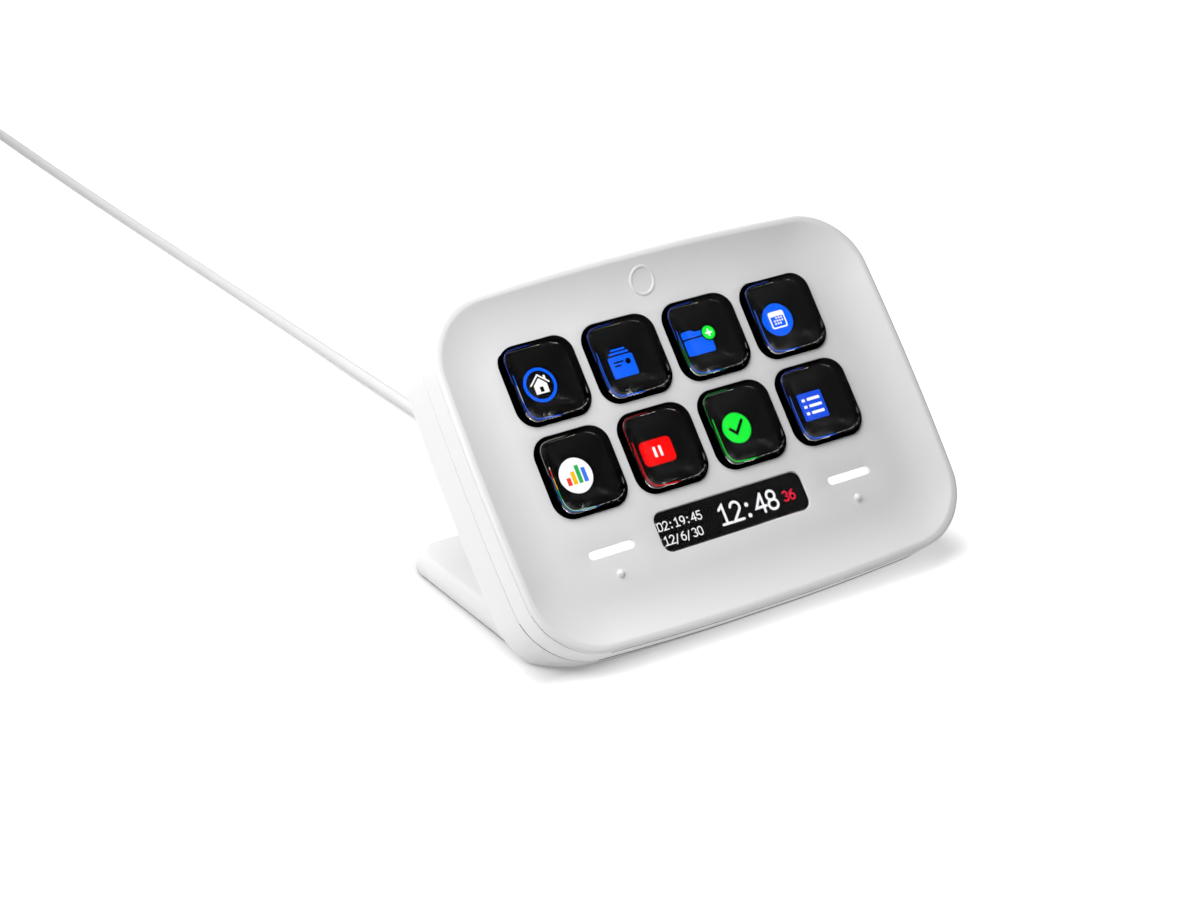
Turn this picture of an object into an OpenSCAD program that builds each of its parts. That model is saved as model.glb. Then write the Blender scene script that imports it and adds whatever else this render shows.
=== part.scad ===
// Macro keypad for a desk: eight clear keys that press down over one display, a status
// strip and two touch points, in a three-part case that leans back on a flat foot.
// Frame: +Z up, front toward -Y, origin on the desk under the middle of the case's box.
// Most pieces are drawn in the face's own axes, X across, Y up the face and Z out of it,
// with Z = 0 on the flat floor of the dish, and panel() then leans them back.

/* [Case] */
// Distance from the key grid to the case's sides
side_margin = 14.1; // [12:0.1:20]
// Distance from the key grid to the case's top side
top_margin = 11.15; // [10.5:0.05:16]
// Distance from the key grid to the case's bottom side
low_margin = 27.45; // [26.5:0.05:34]
// Radius of the case's corners
corner_r = 13.4; // [11:0.2:16]
// How far the top and bottom sides fall away towards the corners
bow_tall = 2; // [0:0.1:2.6]
// How far the left and right sides fall away towards the corners
bow_wide = 1.2; // [0:0.1:1.6]
// Tilt of the face from the desk, in degrees
face_tilt = 48.7; // [46:0.1:52]
// Height above the desk of the face's lower edge
edge_z = 4.4; // [3.8:0.1:8]
// Height of the rim's crest above the floor of the dish
rim_h = 2.9; // [2.4:0.1:4]
// Width of the rim from the case's side to the crest
rim_w = 1.5; // [1.2:0.1:2]
// Width of the dished slope between the crest and the flat floor
dish_w = 10.5; // [8:0.5:12]
// Depth of the side band below the rim's seam
band_depth = 6.1; // [5.6:0.1:8]
// Depth of the rear shell behind the side band
rear_depth = 9.3; // [9.2:0.1:14]
// Wall of the side band and the rear shell
wall = 1.8; // [1.4:0.1:2.2]
// Thickness of the front cover under the keys
floor_t = 1.5; // [1.2:0.1:1.6]
// Visible gap at the case's seams
seam = 0.15; // [0.1:0.05:0.3]
// Clearance between pieces that are fitted together
fit = 0.1; // [0.05:0.05:0.2]

/* [Keys] */
// Distance from one key's middle to the next
key_pitch = 19.7; // [18:0.1:23]
// Width of the front cover's bars between the keys
key_bars = 2.25; // [2.1:0.05:3]
// Corner radius of a key's window
key_window_r = 4.2; // [3:0.1:5]
// Clearance round a key in its window
key_gap = 0.2; // [0.15:0.05:0.3]
// Height of a key's top above the floor of the dish
key_proud = 1.2; // [0.8:0.1:1.4]
// Bevel round a key's top
key_bevel = 0.7; // [0.3:0.1:0.9]
// How far a key travels when it is pressed
key_travel = 0.8; // [0.4:0.1:0.9]

/* [Status strip and touch points] */
// How much shorter the status strip is than two keys' cells
strip_short = 2.9; // [2.5:0.1:8]
// Height of the status strip's window
strip_h = 8.6; // [7:0.1:9.4]
// Distance from the lower keys' windows down to the strip's window
strip_gap = 3.5; // [3.4:0.1:4.2]
// Length of a light bar
bar_l = 10.6; // [8:0.2:12]
// Width of a light bar
bar_w = 1.8; // [1.4:0.1:2.2]
// Distance of the light bars below the strip's middle
bar_lower = 0.15; // [0:0.05:0.6]
// Diameter of a raised dot
dot_d = 1.7; // [1.2:0.1:2.2]
// Distance of the raised dots below the strip's middle
dot_lower = 5.2; // [4.6:0.1:6]

/* [Foot] */
// How far the foot's sides stand in from the case's sides
foot_in = 4.7; // [3.5:0.1:9]
// Length of the foot behind the case's heel
foot_l = 48.9; // [47.5:0.1:60]
// Height of the foot's top above the desk
foot_top = 4.3; // [4:0.1:5]
// Radius of the foot's rear corners
foot_r = 7; // [5:0.5:10]
// Gap under the case's plastic, which the rubber pads fill
ground_gap = 0.7; // [0.5:0.1:1]

/* [Display and boards] */
// Thickness of the display panel
lcd_t = 1.2; // [0.9:0.1:1.3]
// Thickness of the tray behind the display panel
tray_t = 1.6; // [1.2:0.1:1.7]
// Thickness of the chassis plate
chassis_t = 1.2; // [1:0.1:1.3]
// Thickness of the main board
board_t = 1.6; // [1:0.1:1.6]

/* [Cable] */
// Diameter of the cable
cable_d = 2.8; // [2.6:0.1:3.2]
// Distance of the cable's exit to the left of the middle
cable_x = 8.5; // [6:0.5:20]
// Height of the cable's exit along the face's axis
cable_y = 6; // [5:0.5:9]
// Length of the flexible sleeve outside the case
sleeve_l = 15; // [12:0.5:15]

/* [Screws] */
// Radius of a case screw's shank
screw_r = 0.8; // [0.7:0.05:1]
// Radius of a case screw's head
screw_head_r = 1.7; // [1.5:0.05:1.9]
// Distance of the case screws in from the sides and the top
screw_in = 8.6; // [8.5:0.1:9]
// Distance of the lower case screws up from the case's bottom side
screw_low_in = 19; // [18:0.5:21]

/* [Hidden] */
$fn = 40;

// Case outline: points on each corner arc and between two corners
arc_steps = 10;
side_steps = 4;
eps = 0.01;
far = 200;

// Levels along the face's axis, from the crest down
rim_seam = rim_h - 0.4;
lip_low = rim_seam - 0.2;
band_low = rim_seam - band_depth;
rear_top = band_low - seam;
back = rear_top - rear_depth;
rear_inner = back + wall;
frame_wall = 1.0;

// Size of the case, and the middle of its face above the desk
cols = 4;
rows = 2;
grid_w = cols * key_pitch;
grid_h = rows * key_pitch;
body_w = grid_w + 2 * side_margin;
body_h = grid_h + top_margin + low_margin;
face_z = sin(face_tilt) * body_h / 2 + edge_z;
grid_y = (low_margin - top_margin) / 2;
top_row_y = grid_y + grid_h / 2 - key_pitch / 2;
low_row_y = grid_y - grid_h / 2 + key_pitch / 2;

// Keys, mat, contact sheet and display, one below the other
key_window = key_pitch - key_bars;
key_w = key_window - 2 * key_gap;
key_r = key_window_r - key_gap;
key_lip = (key_pitch - key_window) / 2 - 0.5;
flange_w = key_window + 2 * key_lip;
flange_top = -floor_t - fit;
flange_t = 0.55;
flange_low = flange_top - flange_t;
mat_ring_top = flange_low - key_travel - fit;
mat_top = mat_ring_top - 0.2;
mat_low = mat_top - 0.5;
sheet_t = 0.2;
lcd_top = mat_low - sheet_t;
key_low = lcd_top + key_travel + fit;
core_w = key_window - 1.8;
core_r = key_r - 0.6;
well_w = core_w + 0.8;
sheet_margin = 0.5;
lcd_w = grid_w + 3;
lcd_h = grid_h + 3;
lcd_low = lcd_top - lcd_t;
tray_edge = 0.8;
tray_low = lcd_low - tray_t;
tray_w = lcd_w + 2 * tray_edge;
tray_h = lcd_h + 2 * tray_edge;

// Chassis, main board and what stands on it
chassis_low = tray_low - chassis_t;
strip_y = low_row_y - key_window / 2 - strip_gap - strip_h / 2;
touch_y = strip_y - 3.6;
chassis_foot_y = touch_y - 4.2;
chassis_inset = 2.6;
board_low = chassis_low - board_t;
board_w = grid_w + 1.2;
board_h = grid_h + 6.6;
board_y = grid_y - 4.15;
part_h = 1.0;
part_low = board_low - part_h;
board_screw_x = board_w / 2 - 4;
board_screw_y = board_h / 2 - 4;
post_r = 1.6;
post_x = body_w / 2 - 6.5;
post_y = 6;

// Status strip and touch board; the light bars stand under the outer keys
strip_w = 2 * key_pitch - strip_short;
touch_x = 1.5 * key_pitch;
bar_y = strip_y - bar_lower;
dot_y = strip_y - dot_lower;
lens_flange = 1.6;
lens_low = -floor_t - 0.6;
strip_module_w = strip_w + 5.5;
strip_module_h = 12;
strip_module_low = lens_low - 1.5;
touch_top = strip_module_low - fit;
touch_t = 1;
touch_low = touch_top - touch_t;
touch_w = 2 * touch_x + 17;
touch_h = 12.4;
guide_low = touch_top + 0.8;
guide_flange = 0.8;
led_h = 0.7;
pad_l = 7;
pad_h = 3.6;
pad_shift = 0.6;

// Ribbon from the display's lower edge round the main board's edge
ribbon_w = 20;
ribbon_t = 0.3;
connector_l = 4;

// Case screws: their wells press the chassis and the side frame's lugs to the front cover
screw_x = body_w / 2 - screw_in;
screw_top_y = body_h / 2 - screw_in;
screw_low_y = body_h / 2 - screw_low_in;
pilot_r = screw_r + 0.05;
boss_r = screw_r + 2.1;
boss_low = back + 3.8;
well_floor = back + 3.7;
head_seat = back + 2.5;
head_h = 1.3;
shank_l = 7;
screw_clear_r = screw_r + 0.3;
well_r = boss_r + 1.2;
lug_top_r = screw_in - 3.6;
lug_low_r = screw_in - wall + 0.5;
lug_low = band_low + 0.1;
lug_top = -floor_t;
small_screw_r = 0.7;

// Foot, its weight and its pads
foot_w = body_w - 2 * foot_in;
// Where the case's bottom side meets the plane of its cut bottom, and where its back does
cut_w = (ground_gap - edge_z) / cos(face_tilt);
back_cut_v = (ground_gap - face_z - cos(face_tilt) * back) / sin(face_tilt);
heel_back = cos(face_tilt) * back_cut_v - sin(face_tilt) * back;
front_reach = cos(face_tilt) * body_h / 2 + sin(face_tilt) * rim_seam;
rear_reach = max(heel_back + foot_l, cos(face_tilt) * body_h / 2 - sin(face_tilt) * back);
panel_y = (front_reach - rear_reach) / 2;
heel_front = panel_y - cos(face_tilt) * body_h / 2 - sin(face_tilt) * cut_w;
heel_rear = panel_y + heel_back;
foot_rear = heel_rear + foot_l;
tongue_t = 2;
tongue_front = heel_front + 2;
tongue_w = foot_w - 14;
pocket_top = ground_gap + tongue_t + fit;
case_floor_z = pocket_top + wall;
foot_edge = 2;
foot_roof = 1.3;
hollow_front = heel_rear + 6;
hollow_rear = foot_rear - foot_edge;
weight_t = foot_top - foot_roof - 1.4;
weight_low = foot_top - foot_roof - weight_t;
foot_screw_x = foot_w * 0.31;
foot_screw_y = (tongue_front + heel_rear) / 2 - 0.4;
foot_screw_l = 5.4;
foot_boss_top = case_floor_z + 3.2;
foot_boss_r = 2.3;
foot_head_h = 1.2;

// Cable: the gland's inner flange lies on the rear shell's inside
gland_flange_t = 0.6;
gland_flange_r = 3.6;
gland_neck_r = 2.4;
gland_collar_r = 3;
gland_collar_t = 0.8;
sleeve_tip_r = cable_d / 2 + 0.45;
sleeve_tip = back - sleeve_l;
// Points of the cable on its way to the coil, after the sleeve's tip
cable_route = [
    [-8.5, 23.8, 16.4], [-8.5, 28, 12.7], [-8.5, 32.4, 9.2], [-8.6, 36.6, 6.3],
    [-8.7, 41, 3.9], [-8.9, 46, 2.3], [-9.1, 51, 1.6], [-9.2, 56, 1.4],
    [-9.6, 70, 1.4], [-10.2, 90, 1.4], [-10.8, 110, 1.4], [-11.4, 130, 1.4],
    [-12.0, 150, 1.4], [-12.6, 170, 1.4], [-13.2, 190, 1.4], [-13.8, 210, 1.4],
    [-14.4, 230, 1.4], [-15.0, 250, 1.4], [-15.5, 270, 1.4], [-15.9, 290, 1.4],
    [-16.2, 310, 1.4], [-16.4, 330, 1.4], [-16.4, 340, 1.4]
];
// Coil of the cable's spare length, and the tail that leads from it to the plug
coil_turn_r = 15;
coil_across = 3;
coil_high = 4;
coil_x = -34.2;
coil_y = 346;
coil_in_r = coil_turn_r - coil_across * cable_d / 2;
coil_out_r = coil_turn_r + coil_across * cable_d / 2;
coil_h = coil_high * cable_d;
tail_x = coil_x - coil_out_r + cable_d / 2;
tail_route = [
    [tail_x, 340, 9.8], [tail_x, 334, 9.5], [tail_x, 329, 8.6], [tail_x, 324, 7.2],
    [tail_x, 319, 5.6], [tail_x, 314, 4.2], [tail_x, 309, 3.2], [tail_x, 305, 2.8],
    [tail_x, 304, 2.8]
];
plug_relief_l = 8;
plug_l = 17;
plug_w = 11;
plug_t = 5.6;
plug_r = 2.6;
shell_l = 6.6;
shell_w = 8.3;
shell_t = 2.5;

// The face's axes, leaned back and set above the desk
module panel() {
    translate([0, panel_y, face_z]) rotate([face_tilt, 0, 0]) children();
}

// A point of the face's axes, on the desk's axes
function on_desk(x, y, z) = [
    x,
    panel_y + cos(face_tilt) * y - sin(face_tilt) * z,
    face_z + sin(face_tilt) * y + cos(face_tilt) * z
];

// Rounded box outline with its sides bowed, drawn inwards by inset; soft keeps its corners round
function corner_radius(inset, soft) = max(corner_r - inset * (soft ? 0.45 : 1), 1);

function quarter(inset, r) = let(hx = body_w / 2 - inset - r, hy = body_h / 2 - inset - r) concat(
    [for (i = [0:side_steps - 1]) [hx + r, hy * i / side_steps]],
    [for (i = [0:arc_steps]) [hx + r * cos(90 * i / arc_steps), hy + r * sin(90 * i / arc_steps)]],
    [for (i = [1:side_steps - 1]) [hx * (1 - i / side_steps), hy + r]]
);

function bowed(p) = [
    p[0] * (1 - bow_wide / (body_w / 2) * pow(p[1] / (body_h / 2), 2)),
    p[1] * (1 - bow_tall / (body_h / 2) * pow(p[0] / (body_w / 2), 2))
];

function case_points(inset, soft) = let(q = quarter(inset, corner_radius(inset, soft)), n = len(q)) [
    for (p = q) bowed(p),
    for (i = [0:n - 1]) bowed([-q[n - 1 - i][0], q[n - 1 - i][1]]),
    for (p = q) bowed([-p[0], -p[1]]),
    for (i = [0:n - 1]) bowed([q[n - 1 - i][0], -q[n - 1 - i][1]])
];

module outline(inset = 0, soft = false) {
    polygon(case_points(inset, soft));
}

module slab(low, high, inset = 0, soft = false) {
    translate([0, 0, low]) linear_extrude(high - low) outline(inset, soft);
}

// Plain blocks between two levels
module rounded(w, h, r) {
    square([w - 2 * r, h], center = true);
    square([w, h - 2 * r], center = true);
    for (sx = [-1, 1], sy = [-1, 1]) translate([sx * (w / 2 - r), sy * (h / 2 - r)]) circle(r);
}

module tile(w, h, r, low, high) {
    translate([0, 0, low]) linear_extrude(high - low) rounded(w, h, r);
}

module block(w, h, low, high) {
    translate([-w / 2, -h / 2, low]) cube([w, h, high - low]);
}

module rod(r, low, high) {
    translate([0, 0, low]) cylinder(r = r, h = high - low);
}

module bar(l, w, low, high) {
    translate([0, 0, low]) linear_extrude(high - low) {
        square([l - w, w], center = true);
        for (s = [-1, 1]) translate([s * (l - w) / 2, 0]) circle(w / 2);
    }
}

module at_keys() {
    for (i = [0:cols - 1], j = [0:rows - 1]) translate(key_place(i, j)) children();
}

function key_place(i, j) = [(i - (cols - 1) / 2) * key_pitch, top_row_y - j * key_pitch, 0];

module at_screws() {
    for (s = [-1, 1], y = [screw_top_y, -screw_low_y]) translate([s * screw_x, y, 0]) children();
}

module at_board_screws() {
    for (s = [-1, 1], t = [-1, 1]) translate([s * board_screw_x, board_y + t * board_screw_y, 0]) children();
}

module at_foot_screws() {
    for (s = [-1, 0, 1]) translate([s * foot_screw_x, foot_screw_y, 0]) children();
}

module at_touch() {
    for (s = [-1, 1]) translate([s * touch_x, 0, 0]) children();
}

// The space of the dish: flat floor, then a slope that steepens up to the crest
module dish_space() {
    hull() for (k = [[0, 1], [0.1, 0.72], [0.3, 0.42], [0.62, 0.18], [1, 0]])
        slab(k[0] * rim_h, k[0] * rim_h + eps, rim_w + k[1] * dish_w, true);
    hull() {
        slab(rim_h, rim_h + eps, rim_w, true);
        slab(rim_h + 1, rim_h + 1 + eps, rim_w - 0.4, true);
    }
}

module front_cover() {
    color("white") panel() {
        difference() {
            union() {
                slab(-floor_t, lip_low, frame_wall + fit);
                slab(lip_low, rim_seam);
                hull() {
                    slab(rim_seam - eps, rim_seam);
                    slab(rim_h - eps, rim_h, rim_w * 0.6);
                }
                at_screws() rod(boss_r, boss_low, -floor_t + eps);
            }
            dish_space();
            at_keys() tile(key_window, key_window, key_window_r, -floor_t - 1, 1);
            translate([0, strip_y, 0]) tile(strip_w, strip_h, 2.1, -floor_t - 1, 1);
            at_touch() translate([0, bar_y, 0]) bar(bar_l, bar_w, -floor_t - 1, 1);
            at_screws() rod(pilot_r, boss_low - 1, -floor_t - 1);
        }
        at_touch() translate([0, dot_y, 0]) intersection() {
            sphere(dot_d / 2);
            rod(dot_d, -floor_t / 2, dot_d);
        }
    }
}

module side_frame() {
    color("white") panel() difference() {
        union() {
            difference() {
                slab(band_low, lip_low - seam);
                slab(-floor_t - fit, lip_low + 1, frame_wall);
                slab(band_low - 1, lip_low, wall);
            }
            intersection() {
                slab(lug_low, lug_top, wall / 2);
                for (s = [-1, 1]) {
                    translate([s * screw_x, screw_top_y, 0]) rod(lug_top_r, lug_low, lug_top);
                    translate([s * screw_x, -screw_low_y, 0]) rod(lug_low_r, lug_low, lug_top);
                }
            }
        }
        at_screws() rod(boss_r + fit, lug_low - 1, lug_top + 1);
    }
}

module rear_shell() {
    color("white") difference() {
        union() {
            difference() {
                panel() slab(back, rear_top);
                intersection() {
                    panel() slab(rear_inner, rear_top + 1, wall);
                    translate([-far / 2, -far / 2, case_floor_z]) cube(far);
                }
            }
            panel() at_screws() rod(well_r, back, chassis_low);
            at_foot_screws() rod(foot_boss_r, case_floor_z - eps, foot_boss_top);
        }
        translate([-far / 2, -far / 2, ground_gap - far]) cube(far);
        translate([-tongue_w / 2 - fit, tongue_front - fit, -far]) cube([tongue_w + 2 * fit, far, far + pocket_top]);
        panel() at_screws() {
            rod(screw_head_r + fit, back - 1, head_seat);
            rod(screw_clear_r, back - 1, well_floor + 1);
            rod(boss_r + fit, well_floor, chassis_low + 1);
        }
        panel() at_gland() rod(gland_neck_r + fit, back - 1, rear_inner + 1);
        at_foot_screws() rod(pilot_r, 0, foot_boss_top - 0.3);
    }
}

module at_gland() {
    translate([-cable_x, cable_y, 0]) children();
}

// Plan of the foot with round rear corners, drawn inwards by inset
module foot_plan(front, inset) {
    translate([-foot_w / 2 + inset, front])
        square([foot_w - 2 * inset, foot_rear - foot_r - front]);
    for (s = [-1, 1]) translate([s * (foot_w / 2 - foot_r), foot_rear - foot_r]) circle(foot_r - inset);
    translate([-foot_w / 2 + foot_r, front]) square([foot_w - 2 * foot_r, foot_rear - inset - front]);
}

module foot_layer(low, high, front, inset) {
    translate([0, 0, low]) linear_extrude(high - low) foot_plan(front, inset);
}

module foot() {
    color("white") difference() {
        union() {
            difference() {
                hull() {
                    foot_layer(ground_gap, foot_top * 0.6, heel_front, 0);
                    foot_layer(foot_top - 0.5, foot_top - 0.49, heel_front, 0.9);
                    foot_layer(foot_top - eps, foot_top, heel_front, 2.6);
                }
                panel() translate([-far / 2, -far / 2, back - seam]) cube(far);
            }
            translate([-tongue_w / 2, tongue_front, ground_gap])
                cube([tongue_w, heel_rear + 4 - tongue_front, tongue_t]);
        }
        foot_layer(-1, foot_top - foot_roof, hollow_front, foot_edge);
        at_foot_screws() {
            rod(screw_head_r + fit, 0, ground_gap + foot_head_h);
            rod(screw_clear_r, 0, foot_top);
        }
    }
}

module foot_weight() {
    color("silver") foot_layer(weight_low, foot_top - foot_roof, hollow_front + 3 * fit, foot_edge + 3 * fit);
}

module foot_pad() {
    color("dimgray") foot_layer(0, weight_low, hollow_front + 2 * fit, foot_edge + 2 * fit);
}

module front_pad() {
    color("dimgray") translate([-tongue_w / 2 + 3, tongue_front + 1, 0])
        cube([tongue_w - 6, heel_rear - tongue_front - 1.5, ground_gap]);
}

// A clear key: bevelled top, a lip under the cover and a core that reaches down to the display
module key_cap(i, j) {
    color([0.2, 0.2, 0.22, 0.6]) panel() translate(key_place(i, j)) {
        tile(key_w, key_w, key_r, flange_top, key_proud - key_bevel);
        hull() {
            tile(key_w, key_w, key_r, key_proud - key_bevel - eps, key_proud - key_bevel);
            tile(key_w - 2 * key_bevel, key_w - 2 * key_bevel, key_r - key_bevel, key_proud - eps, key_proud);
        }
        tile(flange_w, flange_w, key_window_r + key_lip, flange_low, flange_top);
        tile(core_w, core_w, core_r, key_low, flange_low);
    }
}

module key_cap_1() { key_cap(0, 0); }
module key_cap_2() { key_cap(1, 0); }
module key_cap_3() { key_cap(2, 0); }
module key_cap_4() { key_cap(3, 0); }
module key_cap_5() { key_cap(0, 1); }
module key_cap_6() { key_cap(1, 1); }
module key_cap_7() { key_cap(2, 1); }
module key_cap_8() { key_cap(3, 1); }

module grid_sheet(low, high) {
    translate([0, grid_y, 0]) tile(grid_w + 2 * sheet_margin, grid_h + 2 * sheet_margin, 3, low, high);
}

// Rubber mat with a springy ring round each window
module key_mat() {
    color("gray") panel() difference() {
        union() {
            grid_sheet(mat_low, mat_top);
            at_keys() tile(flange_w - 0.4, flange_w - 0.4, key_window_r, mat_top - eps, mat_ring_top);
        }
        at_keys() tile(well_w, well_w, core_r + 0.4, mat_low - 1, mat_ring_top + 1);
    }
}

// Contact sheet that the mat's rings press on
module key_circuit() {
    color("darkgoldenrod") panel() difference() {
        grid_sheet(lcd_top, mat_low);
        at_keys() tile(well_w, well_w, core_r + 0.4, lcd_top - 1, mat_low + 1);
    }
}

module lcd_panel() {
    color("black") panel() translate([0, grid_y, 0]) block(lcd_w, lcd_h, lcd_low, lcd_top);
}

module lcd_tray() {
    color("silver") panel() translate([0, grid_y, 0]) difference() {
        block(tray_w, tray_h, tray_low, lcd_top - 0.3);
        block(lcd_w + 2 * fit, lcd_h + 2 * fit, lcd_low, lcd_top + 1);
    }
}

module chassis() {
    color("lightgray") panel() difference() {
        union() {
            intersection() {
                slab(chassis_low, tray_low, chassis_inset);
                translate([-far / 2, chassis_foot_y, chassis_low - 1]) cube([far, far, far]);
            }
            translate([0, grid_y, 0])
                block(tray_w + 2 * fit + 1.6, tray_h + 2 * fit + 1.6, chassis_low, lcd_low);
            intersection() {
                slab(chassis_low, lug_low, chassis_inset);
                at_screws() rod(well_r, chassis_low, lug_low);
            }
            for (s = [-1, 1]) translate([s * post_x, post_y, 0]) rod(post_r, chassis_low, -floor_t);
            at_touch() translate([0, touch_y, 0]) block(10, 7, chassis_low, touch_low);
        }
        translate([0, grid_y, 0]) block(tray_w + 2 * fit, tray_h + 2 * fit, tray_low, 1);
        at_screws() rod(boss_r + fit, chassis_low - 1, 1);
        at_board_screws() rod(small_screw_r + 0.05, chassis_low - 1, tray_low + 0.5);
        translate([0, ribbon_fall_y, 0]) block(ribbon_w + 1.2, 1.6, chassis_low - 1, tray_low + 1);
        translate([0, grid_y - tray_h / 2, 0]) block(ribbon_w + 1.2, 6, tray_low, lcd_top);
    }
}

module strip_lens() {
    color([0.1, 0.1, 0.1, 0.7]) panel() translate([0, strip_y, 0]) {
        tile(strip_w - 2 * fit, strip_h - 2 * fit, 2, -floor_t, -fit);
        tile(strip_w + 2 * lens_flange, strip_h + 2 * lens_flange, 3, lens_low, -floor_t);
    }
}

module strip_display() {
    color("black") panel() translate([0, strip_y, 0])
        block(strip_module_w, strip_module_h, strip_module_low, lens_low);
}

module light_guides() {
    color("whitesmoke") panel() at_touch() translate([0, bar_y, 0]) {
        bar(bar_l - 2 * fit, bar_w - 2 * fit, -floor_t, -fit);
        bar(bar_l + 1.6, bar_w + 1.6, -floor_t - guide_flange, -floor_t);
        bar(bar_l - 2, bar_w, guide_low, -floor_t - guide_flange);
    }
}

module touch_board() {
    color("darkgreen") panel() translate([0, touch_y, 0]) block(touch_w, touch_h, touch_low, touch_top);
}

module touch_leds() {
    color("lightyellow") panel() at_touch() translate([0, bar_y, 0])
        for (k = [-1:1]) translate([k * bar_l / 3.4, 0, 0]) block(1.6, 1, touch_top, touch_top + led_h);
}

module touch_pads() {
    color("dimgray") panel() at_touch() translate([0, dot_y - pad_shift, 0])
        block(pad_l, pad_h, touch_top, -floor_t);
}

module main_board() {
    color("darkgreen") panel() difference() {
        translate([0, board_y, 0]) block(board_w, board_h, board_low, chassis_low);
        at_board_screws() rod(small_screw_r + 0.2, board_low - 1, chassis_low + 1);
    }
}

module processor() {
    color("black") panel() translate([board_w * 0.18, board_y + 2, 0]) block(12, 12, part_low, board_low);
}

module memory_chips() {
    color("black") panel() for (y = [-2, 6]) translate([board_w * 0.35, board_y + y, 0]) block(7, 5, part_low, board_low);
}

module power_parts() {
    color("dimgray") panel() {
        translate([-board_w * 0.33, board_y + 6, 0]) block(4, 4, part_low, board_low);
        for (y = [-4, 0]) translate([-board_w * 0.33, board_y + y, 0]) block(2.5, 1.5, part_low, board_low);
    }
}

// Flat ribbon that leaves the display's lower edge and turns round the board's edge
ribbon_fall_y = board_y - board_h / 2 - 1;
ribbon_top = (lcd_low + tray_low) / 2 + 0.5;
ribbon_low = board_low - part_h / 2;

module display_ribbon() {
    start = grid_y - tray_h / 2;
    fall = ribbon_fall_y - ribbon_t / 2;
    end = board_y - board_h / 2 + 1;
    color("orange") panel() rotate([90, 0, 90]) translate([0, 0, -ribbon_w / 2]) linear_extrude(ribbon_w)
        polygon([
            [start, ribbon_top], [fall, ribbon_top],
            [fall, ribbon_low], [end, ribbon_low],
            [end, ribbon_low + ribbon_t], [fall + ribbon_t, ribbon_low + ribbon_t],
            [fall + ribbon_t, ribbon_top - ribbon_t], [start, ribbon_top - ribbon_t]
        ]);
}

module ribbon_connector() {
    color("ivory") panel() translate([0, board_y - board_h / 2 + 1 + connector_l / 2, 0])
        block(ribbon_w + 2, connector_l, part_low, board_low);
}

module cable_header() {
    color("ivory") panel() at_gland() block(9, 5, rear_inner + gland_flange_t, board_low);
}

module case_screws() {
    color("silver") panel() at_screws() {
        rod(screw_head_r, head_seat - head_h, head_seat);
        rod(screw_r, head_seat - eps, head_seat + shank_l);
    }
}

module board_screws() {
    color("silver") panel() at_board_screws() {
        rod(1.6, board_low - 0.9, board_low);
        rod(small_screw_r, board_low - eps, tray_low - 0.2);
    }
}

module foot_screws() {
    color("silver") at_foot_screws() {
        rod(screw_head_r, ground_gap, ground_gap + foot_head_h);
        rod(screw_r, ground_gap + foot_head_h - eps, ground_gap + foot_head_h + foot_screw_l);
    }
}

// Flexible sleeve that holds the cable at the back of the case
module strain_relief() {
    color("white") panel() at_gland() rotate_extrude() polygon([
        [0, sleeve_tip], [sleeve_tip_r, sleeve_tip], [gland_neck_r + 0.2, back - gland_collar_t],
        [gland_collar_r, back - gland_collar_t], [gland_collar_r, back], [gland_neck_r, back],
        [gland_neck_r, rear_inner], [gland_flange_r, rear_inner],
        [gland_flange_r, rear_inner + gland_flange_t], [0, rear_inner + gland_flange_t]
    ]);
}

// Tube along a route: rings no further apart than three diameters
function steps_to(a, b) = max(1, ceil(norm(b - a) / (3 * cable_d)));

function spaced(route) = [
    for (i = [0:len(route) - 2]) for (k = [0:steps_to(route[i], route[i + 1]) - 1])
        route[i] + (route[i + 1] - route[i]) * k / steps_to(route[i], route[i + 1]),
    route[len(route) - 1]
];

function unit(v) = v / norm(v);

function heading(p, i) = unit(p[min(i + 1, len(p) - 1)] - p[max(i - 1, 0)]);

// Ring of sides points round point i; the sideways axis stays level
function ring(p, i, sides, first) = let(
    t = i == 0 ? first : heading(p, i), side = unit(cross(t, [0, 0, 1])), up = cross(side, t)
) [for (k = [0:sides - 1]) p[i] + cable_d / 2 * (cos(360 * k / sides) * side + sin(360 * k / sides) * up)];

module tube(route, first) {
    sides = 8;
    p = spaced(route);
    n = len(p);
    polyhedron(
        points = [for (i = [0:n - 1]) each ring(p, i, sides, first)],
        faces = [
            [for (k = [0:sides - 1]) sides - 1 - k],
            for (i = [0:n - 2], k = [0:sides - 1]) each let(m = (k + 1) % sides, a = i * sides, b = a + sides)
                [[a + k, a + m, b + m], [a + k, b + m, b + k]],
            [for (k = [0:sides - 1]) (n - 1) * sides + k]
        ]
    );
}

module cable() {
    start = on_desk(-cable_x, cable_y, sleeve_tip);
    color("white") tube(concat([start], cable_route), unit(start - on_desk(-cable_x, cable_y, 0)));
}

module cable_coil() {
    color("white") translate([coil_x, coil_y, 0]) rotate_extrude()
        translate([coil_turn_r, coil_h / 2]) rounded(coil_out_r - coil_in_r, coil_h, cable_d / 2);
}

module cable_tail() {
    color("white") tube(tail_route, [0, -1, 0]);
}

module along_plug() {
    translate(tail_route[len(tail_route) - 1]) rotate([90, 0, 0]) children();
}

module plug_body() {
    color("white") along_plug() {
        cylinder(r1 = sleeve_tip_r, r2 = plug_t / 2 - 0.2, h = plug_relief_l + eps);
        tile(plug_w, plug_t, plug_r, plug_relief_l, plug_relief_l + plug_l);
    }
}

module plug_shell() {
    color("silver") along_plug()
        tile(shell_w, shell_t, shell_t / 2 - 0.05, plug_relief_l + plug_l, plug_relief_l + plug_l + shell_l);
}

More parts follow.
